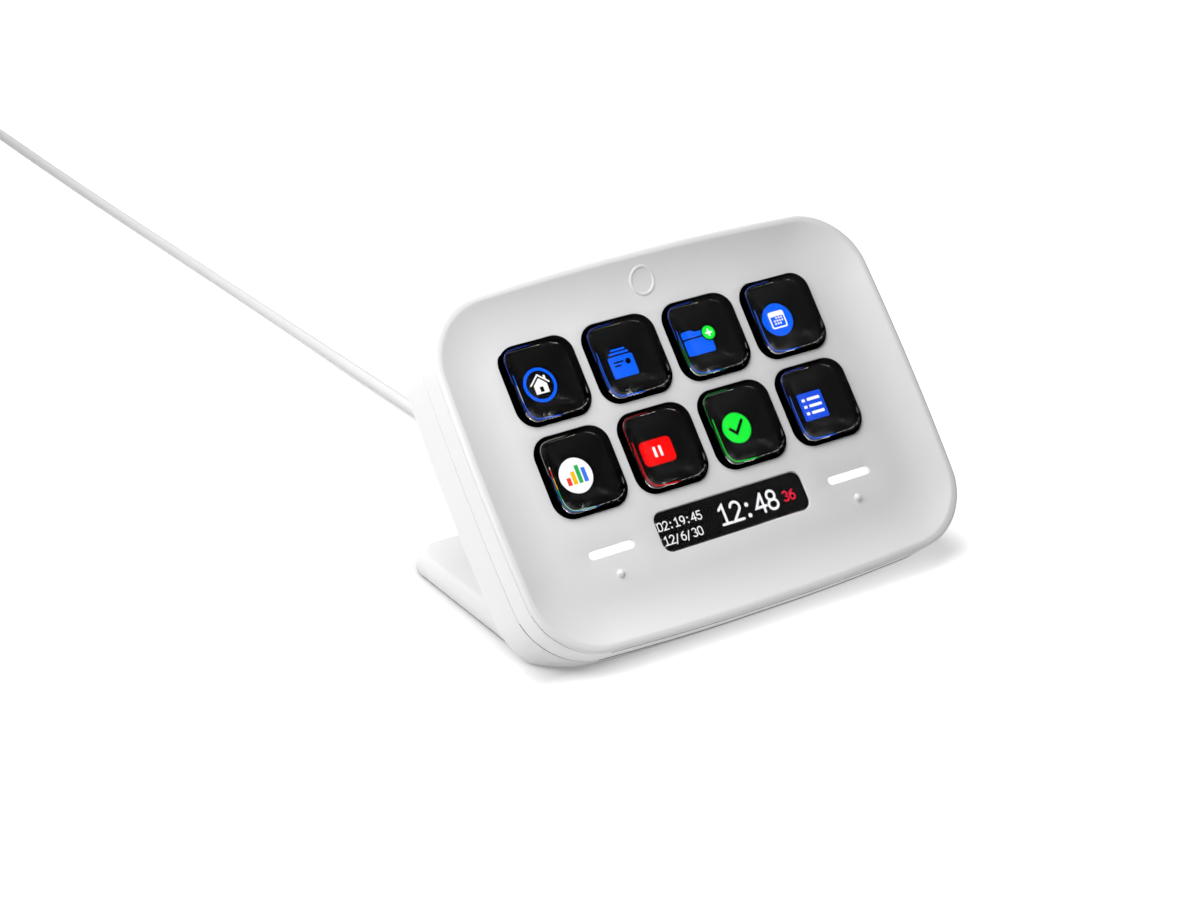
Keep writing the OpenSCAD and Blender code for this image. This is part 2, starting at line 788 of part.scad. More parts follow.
front_cover();
side_frame();
rear_shell();
foot();
foot_weight();
foot_pad();
front_pad();
key_cap_1();
key_cap_2();
key_cap_3();
key_cap_4();
key_cap_5();
key_cap_6();
key_cap_7();
key_cap_8();
key_mat();
key_circuit();
lcd_panel();
lcd_tray();
chassis();
strip_lens();
strip_display();
light_guides();
touch_board();
touch_leds();
touch_pads();
main_board();
processor();
memory_chips();
power_parts();
display_ribbon();
ribbon_connector();
cable_header();
case_screws();
board_screws();
foot_screws();
strain_relief();
cable();
cable_coil();
cable_tail();
plug_body();
plug_shell();
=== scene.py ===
# %% [markdown]
# # A macro keypad with eight clear keys
# The real object is a small white desk keypad. Its case leans back on a flat foot, and
# eight clear keys press down over one display, so that each key shows a picture.
# Below them a narrow strip shows the time, between two lit bars with a raised dot each.
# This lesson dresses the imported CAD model. The CAD solids give the places and the joints,
# and the surfaces made here give the round edges, the parting lines and the finishes.

# %% Load the frame
import math

import bmesh
import bpy
import numpy as np
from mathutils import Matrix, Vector
from mathutils.geometry import delaunay_2d_cdt


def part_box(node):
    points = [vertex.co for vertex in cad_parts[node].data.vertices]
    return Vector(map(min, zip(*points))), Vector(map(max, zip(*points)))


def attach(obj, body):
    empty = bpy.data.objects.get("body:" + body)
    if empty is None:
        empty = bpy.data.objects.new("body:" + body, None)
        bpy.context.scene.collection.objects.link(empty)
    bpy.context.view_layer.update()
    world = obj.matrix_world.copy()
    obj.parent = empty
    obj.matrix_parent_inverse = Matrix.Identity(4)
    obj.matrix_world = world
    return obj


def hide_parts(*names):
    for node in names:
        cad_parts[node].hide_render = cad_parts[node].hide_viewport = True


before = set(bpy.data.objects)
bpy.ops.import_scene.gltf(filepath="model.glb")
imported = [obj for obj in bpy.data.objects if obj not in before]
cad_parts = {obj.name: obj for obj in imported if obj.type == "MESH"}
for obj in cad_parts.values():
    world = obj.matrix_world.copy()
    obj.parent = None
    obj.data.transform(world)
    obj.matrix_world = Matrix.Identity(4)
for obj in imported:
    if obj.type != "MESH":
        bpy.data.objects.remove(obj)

scene = bpy.context.scene
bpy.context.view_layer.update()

# %% [markdown]
# ## Sizes and axes
# Every size is the one of the CAD source, in millimetres. Most pieces are drawn flat, in
# the face's own axes: X across, Y up the face and Z out of it, with Z = 0 on the floor of
# the dish. One function leans them back and turns millimetres into metres. Drawing flat
# is easier to check than drawing on the slope.

# %% Sizes of the case
body_w, body_h, corner_r = 107.0, 78.0, 13.4
bow_tall, bow_wide = 2.0, 1.2
rim_h, rim_w, dish_w = 2.9, 1.5, 10.5
rim_seam, lip_low, seam = 2.5, 2.3, 0.15
rear_top, back, rear_inner = -3.75, -13.05, -11.25
floor_t, edge_z, ground_gap, screw_seat = 1.5, 4.4, 0.7, -10.55
foot_l, foot_front, foot_in, foot_r = 48.9, 12.0, 4.7, 7.0
cable_x, cable_y, sleeve_l = -8.5, 6.0, 15.0
screw_spots = [(side * 44.9, y) for side in (-1, 1) for y in (30.4, -20.0)]
tilt = math.radians(48.7)
ct, st = math.cos(tilt), math.sin(tilt)
face_z = st * body_h / 2 + edge_z
heel_back = ct * (ground_gap - face_z - ct * back) / st - st * back
panel_y = (ct * body_h / 2 + st * rim_seam - heel_back - foot_l) / 2
heel_rear = panel_y + heel_back
print("face middle at Y", round(panel_y, 3), "Z", round(face_z, 3))


# %% Lean the face's axes back
def lean(points):
    """Turns points about X by the face's tilt and lifts them: Y' = Y cos - Z sin + panel_y
    and Z' = Y sin + Z cos + face_z, all from millimetres to metres."""
    x, y, z = np.moveaxis(np.asarray(points, float), -1, 0)
    return np.stack([x, panel_y + ct * y - st * z, face_z + st * y + ct * z], -1) / 1000


def on_desk(points):
    """Points that are already in the desk's axes, from millimetres to metres."""
    return np.asarray(points, float) / 1000


low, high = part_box("front_cover")
print("front cover in CAD", [round(v * 1000, 2) for v in (*low, *high)])

# %% [markdown]
# ## Camera
# The camera stands to the left of the object and looks down at it by 26 degrees, through
# a long lens, which keeps the far side of the case nearly as large as the near side.
# A long lens far away was chosen because the face's edges hardly run together.

# %% Place the camera
lens = bpy.data.cameras.new("camera")
lens.lens, lens.sensor_width, lens.clip_start = 83.13, 36, 0.01
camera = bpy.data.objects.new("camera", lens)
camera.location = (-0.2974, -0.4163, 0.2775)
looks_along = Vector((0.49655, 0.74807, -0.44026))
camera.rotation_euler = looks_along.to_track_quat("-Z", "Y").to_euler()
scene.collection.objects.link(camera)
scene.camera = camera
print("camera looks along", tuple(round(v, 3) for v in looks_along))

# %% [markdown]
# ## How a surface becomes a piece
# A surface here is a grid of points: each row is one closed line round the piece, and the
# rows follow a profile. Flat sheets with holes, like the floor of the dish, can't be such
# a grid, so they are filled with a Delaunay net, which joins points to near neighbours.
# Several surfaces are then joined where their edge points meet, so a piece is one
# closed skin. A plain box or cylinder would be quicker, but it would have no edges that
# catch the light.


# %% Surfaces from rows of points
def loft(rows, first_cap=True, last_cap=True, ring=False):
    """Skin over rows of points, row by row and closed round each row. Each quad joins two
    neighbours in one row to the same two in the next. A cap is a fan to the row's middle,
    and ring joins the last row to the first. A triangle's fourth corner is -1."""
    rows = np.asarray(rows, float)
    count, width = rows.shape[:2]
    i = np.arange(count if ring else count - 1)[:, None]
    j = np.arange(width)
    k, n = (j + 1) % width, (i + 1) % count
    corners = np.broadcast_arrays(i * width + j, i * width + k, n * width + k, n * width + j)
    points, faces = rows.reshape(-1, 3), np.stack(corners, -1).reshape(-1, 4)
    for wanted, at in ((first_cap, 0), (last_cap, count - 1)):
        if wanted and not ring:
            middle, none = np.full(width, len(points)), np.full(width, -1)
            fan = np.stack([at * width + j, at * width + k, middle, none], -1)
            faces = np.concatenate([faces, fan])
            points = np.concatenate([points, rows[at].mean(0)[None]])
    return points, faces, np.ones(len(faces), bool)


def inside(points, loop):
    """Whether each point is inside the loop: a line from it to the right crosses the loop
    an odd number of times."""
    x, y = points[:, 0, None], points[:, 1, None]
    a, b = loop, np.roll(loop, -1, 0)
    spans = (a[:, 1] > y) != (b[:, 1] > y)
    with np.errstate(divide="ignore", invalid="ignore"):
        cross = a[:, 0] + (y - a[:, 1]) * (b[:, 0] - a[:, 0]) / (b[:, 1] - a[:, 1])
    return (spans & (x < cross)).sum(1) % 2 == 1


def sheet(loops, z):
    """Flat sheet at height z between loops: a Delaunay net over all their points, of which
    the triangles stay whose middle lies inside an odd number of loops."""
    edges, start = [], 0
    for loop in loops:
        k = np.arange(len(loop))
        edges += np.stack([start + k, start + (k + 1) % len(loop)], -1).tolist()
        start += len(loop)
    spots, _, triangles, *_ = delaunay_2d_cdt(np.concatenate(loops).tolist(), edges, [], 0, 1e-6)
    spots, triangles = np.array(spots), np.array(triangles)
    middles = spots[triangles].mean(1)
    kept = triangles[sum(inside(middles, loop).astype(int) for loop in loops) % 2 == 1]
    points = np.column_stack([spots, np.full(len(spots), z)])
    return points, np.column_stack([kept, np.full(len(kept), -1)]), np.zeros(len(kept), bool)


def join(*surfaces):
    """Several surfaces as one: points one after another, faces counted on."""
    points, faces, round_faces = zip(*surfaces)
    starts = np.cumsum([0] + [len(p) for p in points])
    faces = [np.where(f < 0, -1, f + start) for f, start in zip(faces, starts)]
    return np.concatenate(points), np.concatenate(faces), np.concatenate(round_faces)


# %% [markdown]
# A piece is the mesh with its place in it: the object itself stays at the origin. Points
# that meet are merged, the faces are turned outwards, and edges sharper than the crease
# angle stay sharp. A plane can cut a piece, as the desk's plane cuts the case.


# %% Make a piece
def new_object(name, surface, axes, number, finishes, body):
    """Object at the origin from a surface: the corners of all faces go in as one row, and
    each face starts where the ones before it end. Number is each face's finish."""
    points, faces, round_faces = surface
    corners = (faces >= 0).sum(1)
    mesh = bpy.data.meshes.new(name)
    mesh.vertices.add(len(points))
    mesh.vertices.foreach_set("co", axes(points).astype(np.float32).ravel())
    mesh.loops.add(int(corners.sum()))
    mesh.loops.foreach_set("vertex_index", faces[faces >= 0].astype(np.int32))
    mesh.polygons.add(len(faces))
    mesh.polygons.foreach_set("loop_start", (np.cumsum(corners) - corners).astype(np.int32))
    mesh.polygons.foreach_set("use_smooth", round_faces)
    mesh.polygons.foreach_set("material_index", number.astype(np.int32))
    mesh.update(calc_edges=True)
    for finish in finishes:
        mesh.materials.append(finish)
    made = bpy.data.objects.new(name, mesh)
    scene.collection.objects.link(made)
    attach(made, body)
    return made


def piece(name, surface, finish, stands_for=(), body="housing", axes=lean, cuts=(),
          crease=33, second=()):
    """Mesh object from a surface. Each cut is a point and a direction in metres: what lies
    on that side of the plane goes, and the cut is closed with one face. The faces whose
    numbers are in second take the second finish."""
    finishes = finish if isinstance(finish, list) else [finish]
    number = np.isin(np.arange(len(surface[1])), second)
    made = new_object(name, surface, axes, number, finishes, body)
    mesh, form = made.data, bmesh.new()
    form.from_mesh(mesh)
    bmesh.ops.remove_doubles(form, verts=form.verts[:], dist=2e-6)
    loose = [v for v in form.verts if not v.link_faces]
    bmesh.ops.delete(form, geom=loose, context="VERTS")
    for point, direction in cuts:
        everything = form.verts[:] + form.edges[:] + form.faces[:]
        cut = bmesh.ops.bisect_plane(form, geom=everything, dist=1e-7, plane_co=point,
                                     plane_no=direction, clear_outer=True)
        rim = [e for e in cut["geom_cut"] if isinstance(e, bmesh.types.BMEdge)]
        bmesh.ops.holes_fill(form, edges=rim)
    bmesh.ops.recalc_face_normals(form, faces=form.faces[:])
    open_edges = sum(1 for e in form.edges if not e.is_manifold)
    form.to_mesh(mesh)
    form.free()
    mesh.set_sharp_from_angle(angle=math.radians(crease))
    if stands_for:
        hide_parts(*stands_for)
    print(f"{name}: {len(mesh.polygons)} faces, {open_edges} open edges")
    return made


def strips(rows, wanted, start=0, below=np.inf, beyond=-np.inf):
    """Numbers of the quads in some strips of a loft: a strip has one quad for each point
    of a row, and start is the number of faces before the loft in its piece. Only the quads
    whose Y is less than below and whose X is more than beyond are taken."""
    along = np.arange(np.shape(rows)[1])
    first = np.asarray(rows)[0]
    along = along[(first[:, 1] < below) & (first[:, 0] > beyond)]
    return (start + np.asarray(wanted)[:, None] * np.shape(rows)[1] + along).ravel()


# %% [markdown]
# ## How a finish is made
# Each finish is a small network of shader nodes. Colours are written as sRGB hex values
# and turned to linear light by one function. Patterns read the Object coordinates, which
# are in metres here, so a grain of 0.3 mm has a scale of 1 / 0.0003. A grain finer than
# about 0.1 mm would not be seen from here, so it is drawn coarser. The blacks under the
# acrylic are #000000, as the little light that they would give back only makes specks.


# %% Colours and nodes
def linear(code):
    """sRGB hex to linear light: each share c becomes ((c + 0.055) / 1.055) to the 2.4."""
    c = np.array([int(code[i:i + 2], 16) for i in (1, 3, 5)]) / 255
    return (*np.where(c <= 0.04045, c / 12.92, ((c + 0.055) / 1.055) ** 2.4), 1.0)


def add(tree, kind, inputs=(), **settings):
    """One node with its settings. Its inputs are named, or listed in the node's order. An
    input is a value, a socket to link from, or a node whose first output is linked."""
    made = tree.nodes.new("ShaderNode" + kind)
    for name, value in settings.items():
        setattr(made, name, value)
    for name, value in inputs.items() if isinstance(inputs, dict) else enumerate(inputs):
        if isinstance(value, bpy.types.Node):
            value = value.outputs[0]
        if isinstance(value, bpy.types.NodeSocket):
            tree.links.new(value, made.inputs[name])
        else:
            made.inputs[name].default_value = value
    return made


def empty_tree(owner):
    """The owner's node tree, with nothing in it."""
    owner.use_nodes = True
    owner.node_tree.nodes.clear()
    return owner.node_tree


def new_finish(name, values):
    """A material with a Principled shader: returns it, its tree and the shader."""
    made = bpy.data.materials.new(name)
    tree = empty_tree(made)
    shader = add(tree, "BsdfPrincipled", values)
    add(tree, "OutputMaterial", {"Surface": shader})
    return made, tree, shader


def grained(name, colours, rough, grain_mm, height_mm, cloud_mm=9.0, values={}):
    """A finish with a fine grain and a faint cloud: noise of the cloud's size mixes two
    colours, and noise of the grain's size varies the roughness and raises the surface."""
    made, tree, shader = new_finish(name, values)
    place = add(tree, "TexCoord").outputs["Object"]
    cloud = add(tree, "TexNoise", {"Vector": place, "Scale": 1000 / cloud_mm, "Detail": 3.0})
    grain = add(tree, "TexNoise", {"Vector": place, "Scale": 1000 / grain_mm, "Detail": 2.0})
    tint = add(tree, "Mix", {"Factor": cloud, "A": linear(colours[0]), "B": linear(colours[1])},
               data_type="RGBA")
    gloss = add(tree, "MapRange", (grain, 0.3, 0.7, *rough))
    relief = add(tree, "Bump", {"Height": grain, "Strength": 1.0, "Distance": height_mm / 1000})
    for name, socket in (("Base Color", tint.outputs["Result"]), ("Roughness", gloss.outputs[0]),
                         ("Normal", relief.outputs[0])):
        tree.links.new(socket, shader.inputs[name])
    return made


print("white #F2F2F2 in linear light:", [round(v, 3) for v in linear("#F2F2F2")])

# %% [markdown]
# ## The cable
# The keypad's cable comes out of the back through a flexible sleeve, drops to the desk in
# an easy curve and runs away behind the case. The part of it that isn't in use is wound
# into a neat coil of eleven and a half turns, three across and four high, with the plug
# beside it. It is one tube along one smooth line. The line is worked out first, as
# a cable keeps its length however it lies.
#
# The jacket is soft thermoplastic rubber (TPE), drawn through a die, so it is matt and
# very even, with only a faint grain. It is a slightly greyer white than the case.

# %% The cable's line
cable_r = 1.4
exit_mm = lean([cable_x, cable_y, back - sleeve_l]) * 1000
fall = np.array([exit_mm, [-8.5, 23.8, 16.4], [-8.5, 28, 12.7], [-8.5, 32.4, 9.2],
                 [-8.6, 36.6, 6.3], [-8.7, 41, 3.9], [-8.9, 46, 2.3], [-9.1, 51, 1.6],
                 [-9.2, 56, cable_r]])
run_x = [-9.6, -10.2, -10.8, -11.4, -12.0, -12.6, -13.2, -13.8, -14.4, -15.0, -15.5, -15.9,
         -16.2, -16.4, -16.4]
run_y = np.r_[70:331:20, 340]
run = np.column_stack([run_x, run_y, np.full(len(run_y), cable_r)])
coil_x, coil_y, coil_out, coil_in, pitch = -34.2, 345.99, 17.8, 12.2, 2 * cable_r
tail_x, plug_y, plug_z = coil_x - coil_out, 304, 2.8
tail = np.array([[340, 9.8], [334, 9.5], [329, 8.6], [324, 7.2], [319, 5.6], [314, 4.2],
                 [309, 3.2], [plug_y + 1, plug_z], [plug_y, plug_z]])
tail = np.column_stack([np.full(len(tail), tail_x), tail])


def through(points, steps):
    """Smooth line through points: between two of them, a cubic whose slope at each point
    is half the way from the point before it to the point after it."""
    p = np.concatenate([points[:1], points, points[-1:]])
    a, b, c, d = p[:-3, None], p[1:-2, None], p[2:-1, None], p[3:, None]
    t = (np.arange(steps) / steps)[None, :, None]
    line = 0.5 * (2 * b + (c - a) * t + (2 * a - 5 * b + 4 * c - d) * t ** 2
                  + (3 * b - a - 3 * c + d) * t ** 3)
    return np.concatenate([line.reshape(-1, points.shape[1]), points[-1:]])


def coil_line(turns=11.5, per_turn=36):
    """Wound line: the angle grows evenly, and radius and height move evenly from one
    turn's place to the next over the whole turn, in, up, out and up again."""
    place = np.arange(12)
    layer, step = place // 3, place % 3
    radius = np.where(layer % 2 == 0, coil_out - pitch * step, coil_in + pitch * step)
    t = np.arange(1, int(turns * per_turn) + 1) / per_turn
    r, z = np.interp(t, place, radius), np.interp(t, place, cable_r + pitch * layer)
    a = 2 * np.pi * t
    return np.stack([coil_x + r * np.cos(a), coil_y + r * np.sin(a), z], -1)


start_of_coil = [[coil_x + coil_out, coil_y, cable_r]]
cable_line = np.concatenate([through(np.concatenate([fall, run, start_of_coil]), 4),
                             coil_line(), through(tail, 3)])


# %% The cable's tube
def angles(sides):
    """Even angles once round, in radians."""
    return 2 * np.pi * np.arange(sides) / sides


def tube(line, radius, sides=14):
    """Tube: round each point a circle square to the line's heading. Its sideways axis is
    the heading crossed with up, so it stays level, and its other axis is square to both."""
    ahead = np.gradient(line, axis=0)
    ahead /= np.linalg.norm(ahead, axis=1)[:, None]
    side = np.cross(ahead, [0, 0, 1.0])
    side /= np.linalg.norm(side, axis=1)[:, None]
    up = np.cross(side, ahead)
    a = angles(sides)
    ring = np.cos(a)[None, :, None] * side[:, None] + np.sin(a)[None, :, None] * up[:, None]
    return loft(line[:, None] + radius * ring)


cable_tpe = grained("white TPE cable jacket, extruded", ("#E0E0E0", "#E6E6E6"), (0.5, 0.62), 0.5,
                    0.004, values={"IOR": 1.5, "Specular IOR Level": 0.4})
cable = piece("cable_run", tube(cable_line, cable_r), cable_tpe,
              ("cable", "cable_coil", "cable_tail"), axes=on_desk)

# %% [markdown]
# The plug is an overmoulded grip with a stamped steel shell in front. A rounded
# rectangle is carried along the plug's line and changes its size on the way. That
# gives the sleeve behind the grip, its shoulders and the round edges in one skin.


# %% Rounded rectangles and circles
def columns(*values):
    """Numbers or lists of one length, each as an upright column."""
    return [np.atleast_1d(v).astype(float)[:, None] for v in np.broadcast_arrays(*values)]


def tile(w, h, r, x=0.0, y=0.0, arc=10):
    """Closed line of a rounded rectangle: a quarter circle about each corner's middle.
    Sizes may be arrays, which gives one line for each."""
    w, h, r = columns(w, h, r)
    a = np.linspace(0, np.pi / 2, arc + 1)
    turn = np.concatenate([a + k * np.pi / 2 for k in range(4)])
    sx = np.repeat([1, -1, -1, 1], arc + 1)
    sy = np.repeat([1, 1, -1, -1], arc + 1)
    line = np.stack([x + sx * (w / 2 - r) + r * np.cos(turn),
                     y + sy * (h / 2 - r) + r * np.sin(turn)], -1)
    return line if len(line) > 1 else line[0]


def disc(r, x=0.0, y=0.0, sides=48):
    """Circle of points about x, y."""
    a = angles(sides)
    return np.stack([x + r * np.cos(a), y + r * np.sin(a)], -1)


def stack(lines, z):
    """Flat lines lifted to their heights: one row of points for each."""
    lines = np.asarray(lines, float)
    z = np.broadcast_to(np.asarray(z, float).reshape(-1, 1), lines.shape[:2])
    return np.concatenate([lines, z[..., None]], -1)


# %% The plug
def along_plug(points):
    """Carries a form drawn upwards to the end of the cable: its Z runs along -Y there."""
    x, y, z = np.moveaxis(np.asarray(points, float), -1, 0)
    return np.stack([tail_x + x, plug_y - z, plug_z + y], -1) / 1000


# The grip's mould is spark-eroded, so its white is matt and shows its round edges softly.
plug_tpe = grained("white TPE overmould, spark-textured", ("#E9E9E9", "#F1F1F1"), (0.45, 0.6),
                   0.3, 0.006)
z = np.array([0, 0.3, 8, 8.2, 8.7, 9.6, 11, 24, 24.7, 25])
w = np.array([3.3, 3.7, 5.2, 7.2, 9.4, 10.7, 11, 11, 10.6, 10])
h = np.array([3.3, 3.7, 5.2, 5.3, 5.45, 5.55, 5.6, 5.6, 5.3, 4.7])
grip = loft(stack(tile(w, h, np.minimum(np.minimum(w, h) / 2 - 0.01, 2.6), arc=6), z))
plug_grip = piece("plug_grip", grip, plug_tpe, ("plug_body",), axes=along_plug)

# Brushing leaves fine scratches, which spread each reflection a little.
steel = grained("stainless steel, stamped and brushed", ("#8E9092", "#A6A8AA"), (0.3, 0.45),
                0.12, 0.002, cloud_mm=2.0, values={"Metallic": 1.0})
z = np.array([24.9, 31.5, 31.6, 31.6, 31.5, 27.0])
w = np.array([8.3, 8.3, 8.1, 7.7, 7.5, 7.5])
h = np.array([2.5, 2.5, 2.3, 1.9, 1.7, 1.7])
shell = loft(stack(tile(w, h, h / 2 - 0.01, arc=6), z))
tongue = loft(stack(tile([6.4, 6.4, 6.2], [0.7, 0.7, 0.5], [0.2, 0.2, 0.15], arc=2),
                    [26.8, 30.8, 31.0]))
plug_steel = piece("plug_steel", join(shell, tongue), steel, ("plug_shell",),
                   axes=along_plug)

print("cable leaves the sleeve at", np.round(cable_line[0] / 1000, 4))


# %% [markdown]
# The sleeve at the back is a turned form: a profile carried round its axis. Rings are cut
# into it so that it bends evenly.


# %% Turned forms
def lathe(radius, height, x=0.0, y=0.0, sides=40, caps=(True, True)):
    """Turned form: each profile point's radius, carried round the upright axis at x, y. A
    point may also have one radius for each side."""
    a = angles(sides)
    height = np.repeat(np.asarray(height, float)[:, None], sides, 1)
    radius = np.asarray(radius, float).reshape(len(height), -1)
    return loft(np.stack([x + radius * np.cos(a), y + radius * np.sin(a), height], -1), *caps)


ring_pitch, ring_depth = 1.9, 0.38
z = np.linspace(-0.8, -14.6, 93)
cone = 2.6 + (z + 0.8) / 14.2 * 0.75
rings = np.clip(np.cos(2 * np.pi * (z + 2.5) / ring_pitch) * 2.2 - 0.9, 0, 1)
rings *= (z < -2.0) * (z > -12.6)
radius = np.r_[2.35, 2.35, 2.85, 3.0, 3.0, 2.85, cone - ring_depth * rings, 1.84, 1.7, 1.45]
height = np.r_[1.7, 0, 0, -0.12, -0.65, -0.8, z, -14.9, -sleeve_l, -sleeve_l] + back
piece("cable_sleeve", lathe(radius, height, cable_x, cable_y), plug_tpe,
      ("strain_relief",))

# %% [markdown]
# ## The case
# The case is three mouldings, one behind the other: a front cover with the dished face, a
# band round the side, and a rear shell. They are moulded from ABS in a tool with a fine
# spark-eroded texture, so the white is satin, not glossy. Between them are thin
# parting lines, which show because each edge is very slightly rounded, and along the
# bottom also because their lips are painted black as shade.
#
# All three follow one outline: a rounded box whose sides bow out a little towards their
# middles. One function draws it at any distance inwards, for a whole profile at once.


# %% The case's outline
def outline(inset, soft=0.0, arc=20, side=10):
    """Rounded box drawn inwards by inset. Soft lines keep rounder corners: the radius
    shrinks by 0.45 of the inset, not all of it. Then each side bows: a point moves inwards
    with the square of its distance from the middle of its side."""
    inset, soft = columns(inset, soft)
    r = np.maximum(corner_r - inset * (1 - 0.55 * soft), 1)
    hx, hy = body_w / 2 - inset - r, body_h / 2 - inset - r
    k, a = np.arange(side) / side, np.linspace(0, np.pi / 2, arc + 1)
    qx = np.concatenate([(hx + r) + 0 * k, hx + r * np.cos(a), hx * (1 - k[1:])], 1)
    qy = np.concatenate([hy * k, hy + r * np.sin(a), (hy + r) + 0 * k[1:]], 1)
    x = np.concatenate([qx, -qx[:, :0:-1], -qx, qx[:, :0:-1]], 1)
    y = np.concatenate([qy, qy[:, :0:-1], -qy, -qy[:, :0:-1]], 1)
    across = np.maximum(np.abs(x), hx / 4)
    line = np.stack([x * (1 - bow_wide / (body_w / 2) * (y / (body_h / 2)) ** 2),
                     y * (1 - bow_tall / (body_h / 2) * (across / (body_w / 2)) ** 2)], -1)
    return line if len(line) > 1 else line[0]


# The tool's texture breaks reflections up, so the white is soft and even. Its real grain is
# about 0.05 mm and is drawn at 0.3 mm, as a finer one would not be seen from here.
white_abs = grained("satin white ABS, spark-eroded tool", ("#E6E6E7", "#EAEAEB"), (0.4, 0.5), 0.3,
                    0.0015, cloud_mm=25.0, values={"IOR": 1.52, "Specular IOR Level": 0.35})
# Painted shade: along the bottom of the case the lips inside a seam are drawn black, as the
# shade that falls into the seam there, which keeps each seam a thin, crisp dark line. On a
# seam's outer edge this painted shade starts only right of the left corner. The walls of the
# key windows take the same black, as a black lining that also stands in for the shade in
# each key's gap.
seam_shade_and_wall_black = grained("painted seam shade, black on the key window walls", ("#0B0B0C", "#101011"),
                     (0.6, 0.75), 0.4, 0.002, values={"Specular IOR Level": 0.2})
seam_dark, seam_left = -26.0, -40.0
groove_end, groove_step = 44.0, 12.0


def groove(rows, size):
    """How far a seam's edge draws back along the bottom: size there, nothing elsewhere,
    with a smooth step after each lower corner."""
    x, y = rows[..., 0], rows[..., 1]
    t = np.clip((groove_end - np.abs(x)) / groove_step, 0, 1)
    return size * t * t * (3 - 2 * t) * (y < seam_dark)


def seam_shade_strips(rows, deep, edge):
    """Numbers of a seam's quads that take the painted shade: deep strips, and strips of its outer
    edge.
    """
    return np.append(strips(rows, deep, below=seam_dark),
                     strips(rows, edge, below=seam_dark, beyond=seam_left))


print("points round the case:", len(outline(0)))

# %% [markdown]
# ### The front cover
# From the seam the rim rounds over to its crest and falls into the dish. The dish's slope
# is steep at the crest and runs out flat: its height grows with the 2.1th power of the
# distance from the flat floor. The crest itself is a soft meeting of two curves.


# %% Profile of the rim and the dish
slope_power, crest_soft, dish_in, cover_in = 2.1, 0.07, rim_w + dish_w, 1.1


def dish_height(inset):
    """Height of the slope: rim_h times the share of the way up to the power 2.1. A soft
    minimum with the crest's height rounds the place where they meet."""
    share = np.clip((dish_in - inset) / dish_w, 0, None)
    slope = rim_h * share ** slope_power
    return -crest_soft * np.log(np.exp(-rim_h / crest_soft) + np.exp(-slope / crest_soft))


turn = np.linspace(0, np.pi / 2, 9)[1:]
over = np.r_[np.linspace(1.0, 3.0, 16), np.linspace(3.3, dish_in, 27)]
plain_slope = rim_h * ((dish_in - over) / dish_w) ** slope_power
height_over = np.where(over > 3, plain_slope, dish_height(over))
rounding = 0.9 * (1 - np.cos(turn)) + 0.026 * np.sin(2 * turn)  # a hair inside the CAD's facets
inset = np.r_[cover_in, cover_in, 0.1, 0.03, 0, 0, rounding, over]
height = np.r_[-floor_t, lip_low, lip_low, 2.31, 2.33, 2.34, 2.34 + 0.56 * np.sin(turn),
               height_over]
soft = np.r_[np.zeros(len(inset) - len(over)), np.clip((over - 0.9) / 0.6, 0, 1)]
print("crest at", round(height.max(), 3), "mm, floor of the dish", round(height[-1], 3), "mm")

# %% Windows of the front cover
key_pitch, key_window, window_r, window_lip = 19.7, 17.45, 4.2, 0.16
key_x = (np.arange(4) - 1.5) * key_pitch
key_spots = [(x, y) for y in (18.0, -1.7) for x in key_x]
strip_w, strip_h, strip_r, strip_y = 36.5, 8.6, 2.1, -18.225
bar_l, bar_w, bar_y, touch_x, dot_y = 10.6, 1.8, -18.375, 29.55, -23.425
holes = [(key_window, key_window, window_r, x, y) for x, y in key_spots]
holes += [(strip_w, strip_h, strip_r, 0, strip_y)]
holes += [(bar_l, bar_w, bar_w / 2 - 0.01, s * touch_x, bar_y) for s in (-1, 1)]


def window_rows(w, h, r, x, y):
    """Rows of a window's wall: a quarter-round lip at the top, then straight down."""
    turn = np.linspace(0, np.pi / 2, 5)
    grow = np.r_[window_lip * (1 - np.sin(turn)), 0]
    down = np.r_[-window_lip * (1 - np.cos(turn)), -floor_t]
    return stack(tile(w + 2 * grow, h + 2 * grow, r + grow, x, y), down)


wall_rows = [window_rows(*hole) for hole in holes]
walls = [loft(rows, False, False) for rows in wall_rows]
top = sheet([outline(dish_in, 1)] + [rows[0, :, :2] for rows in wall_rows], 0)
bottom = sheet([outline(cover_in)] + [tile(*hole) for hole in holes], -floor_t)
print("floor of the dish has", len(top[1]), "triangles")

# %% [markdown]
# Below each lit bar is a small raised dot, to find the touch point by feel. High on the
# slope is a plain raised ring, which follows the curve of the dish.

# %% Dots, ring and bosses
turn = np.linspace(0, np.pi / 2, 9)[1:-1]
dots = [lathe(np.r_[0.95, 0.95, 0.86, 0.82, 0.78 * np.cos(turn)],
              np.r_[-0.3, 0, 0.03, 0.1, 0.1 + 0.75 * np.sin(turn)], s * touch_x, dot_y, 32)
        for s in (-1, 1)]
bosses = [lathe([2.9, 2.9, 0.85, 0.85], [-floor_t + 0.1, -9.25, -9.25, -4], x, y, 24)
          for x, y in screw_spots]


def raised_ring(radius=2.72, half_width=0.36, height=0.2, y=32.7, bowed=0.03, sides=72):
    """Bead that follows the dish: a circle's points, moved out by half_width cos a and up
    by height sin a, and set on the dish's height at their own place. The case's top side
    is bowed inwards there."""
    a = np.linspace(0, 2 * np.pi, 15)[:-1][:, None]
    t = angles(sides)
    r = radius + half_width * np.cos(a)
    px, py = r * np.cos(t), y + r * np.sin(t)
    pz = dish_height(body_h / 2 - bowed - py) + height * np.sin(a)
    return loft(np.stack([px, py, pz], -1), ring=True)


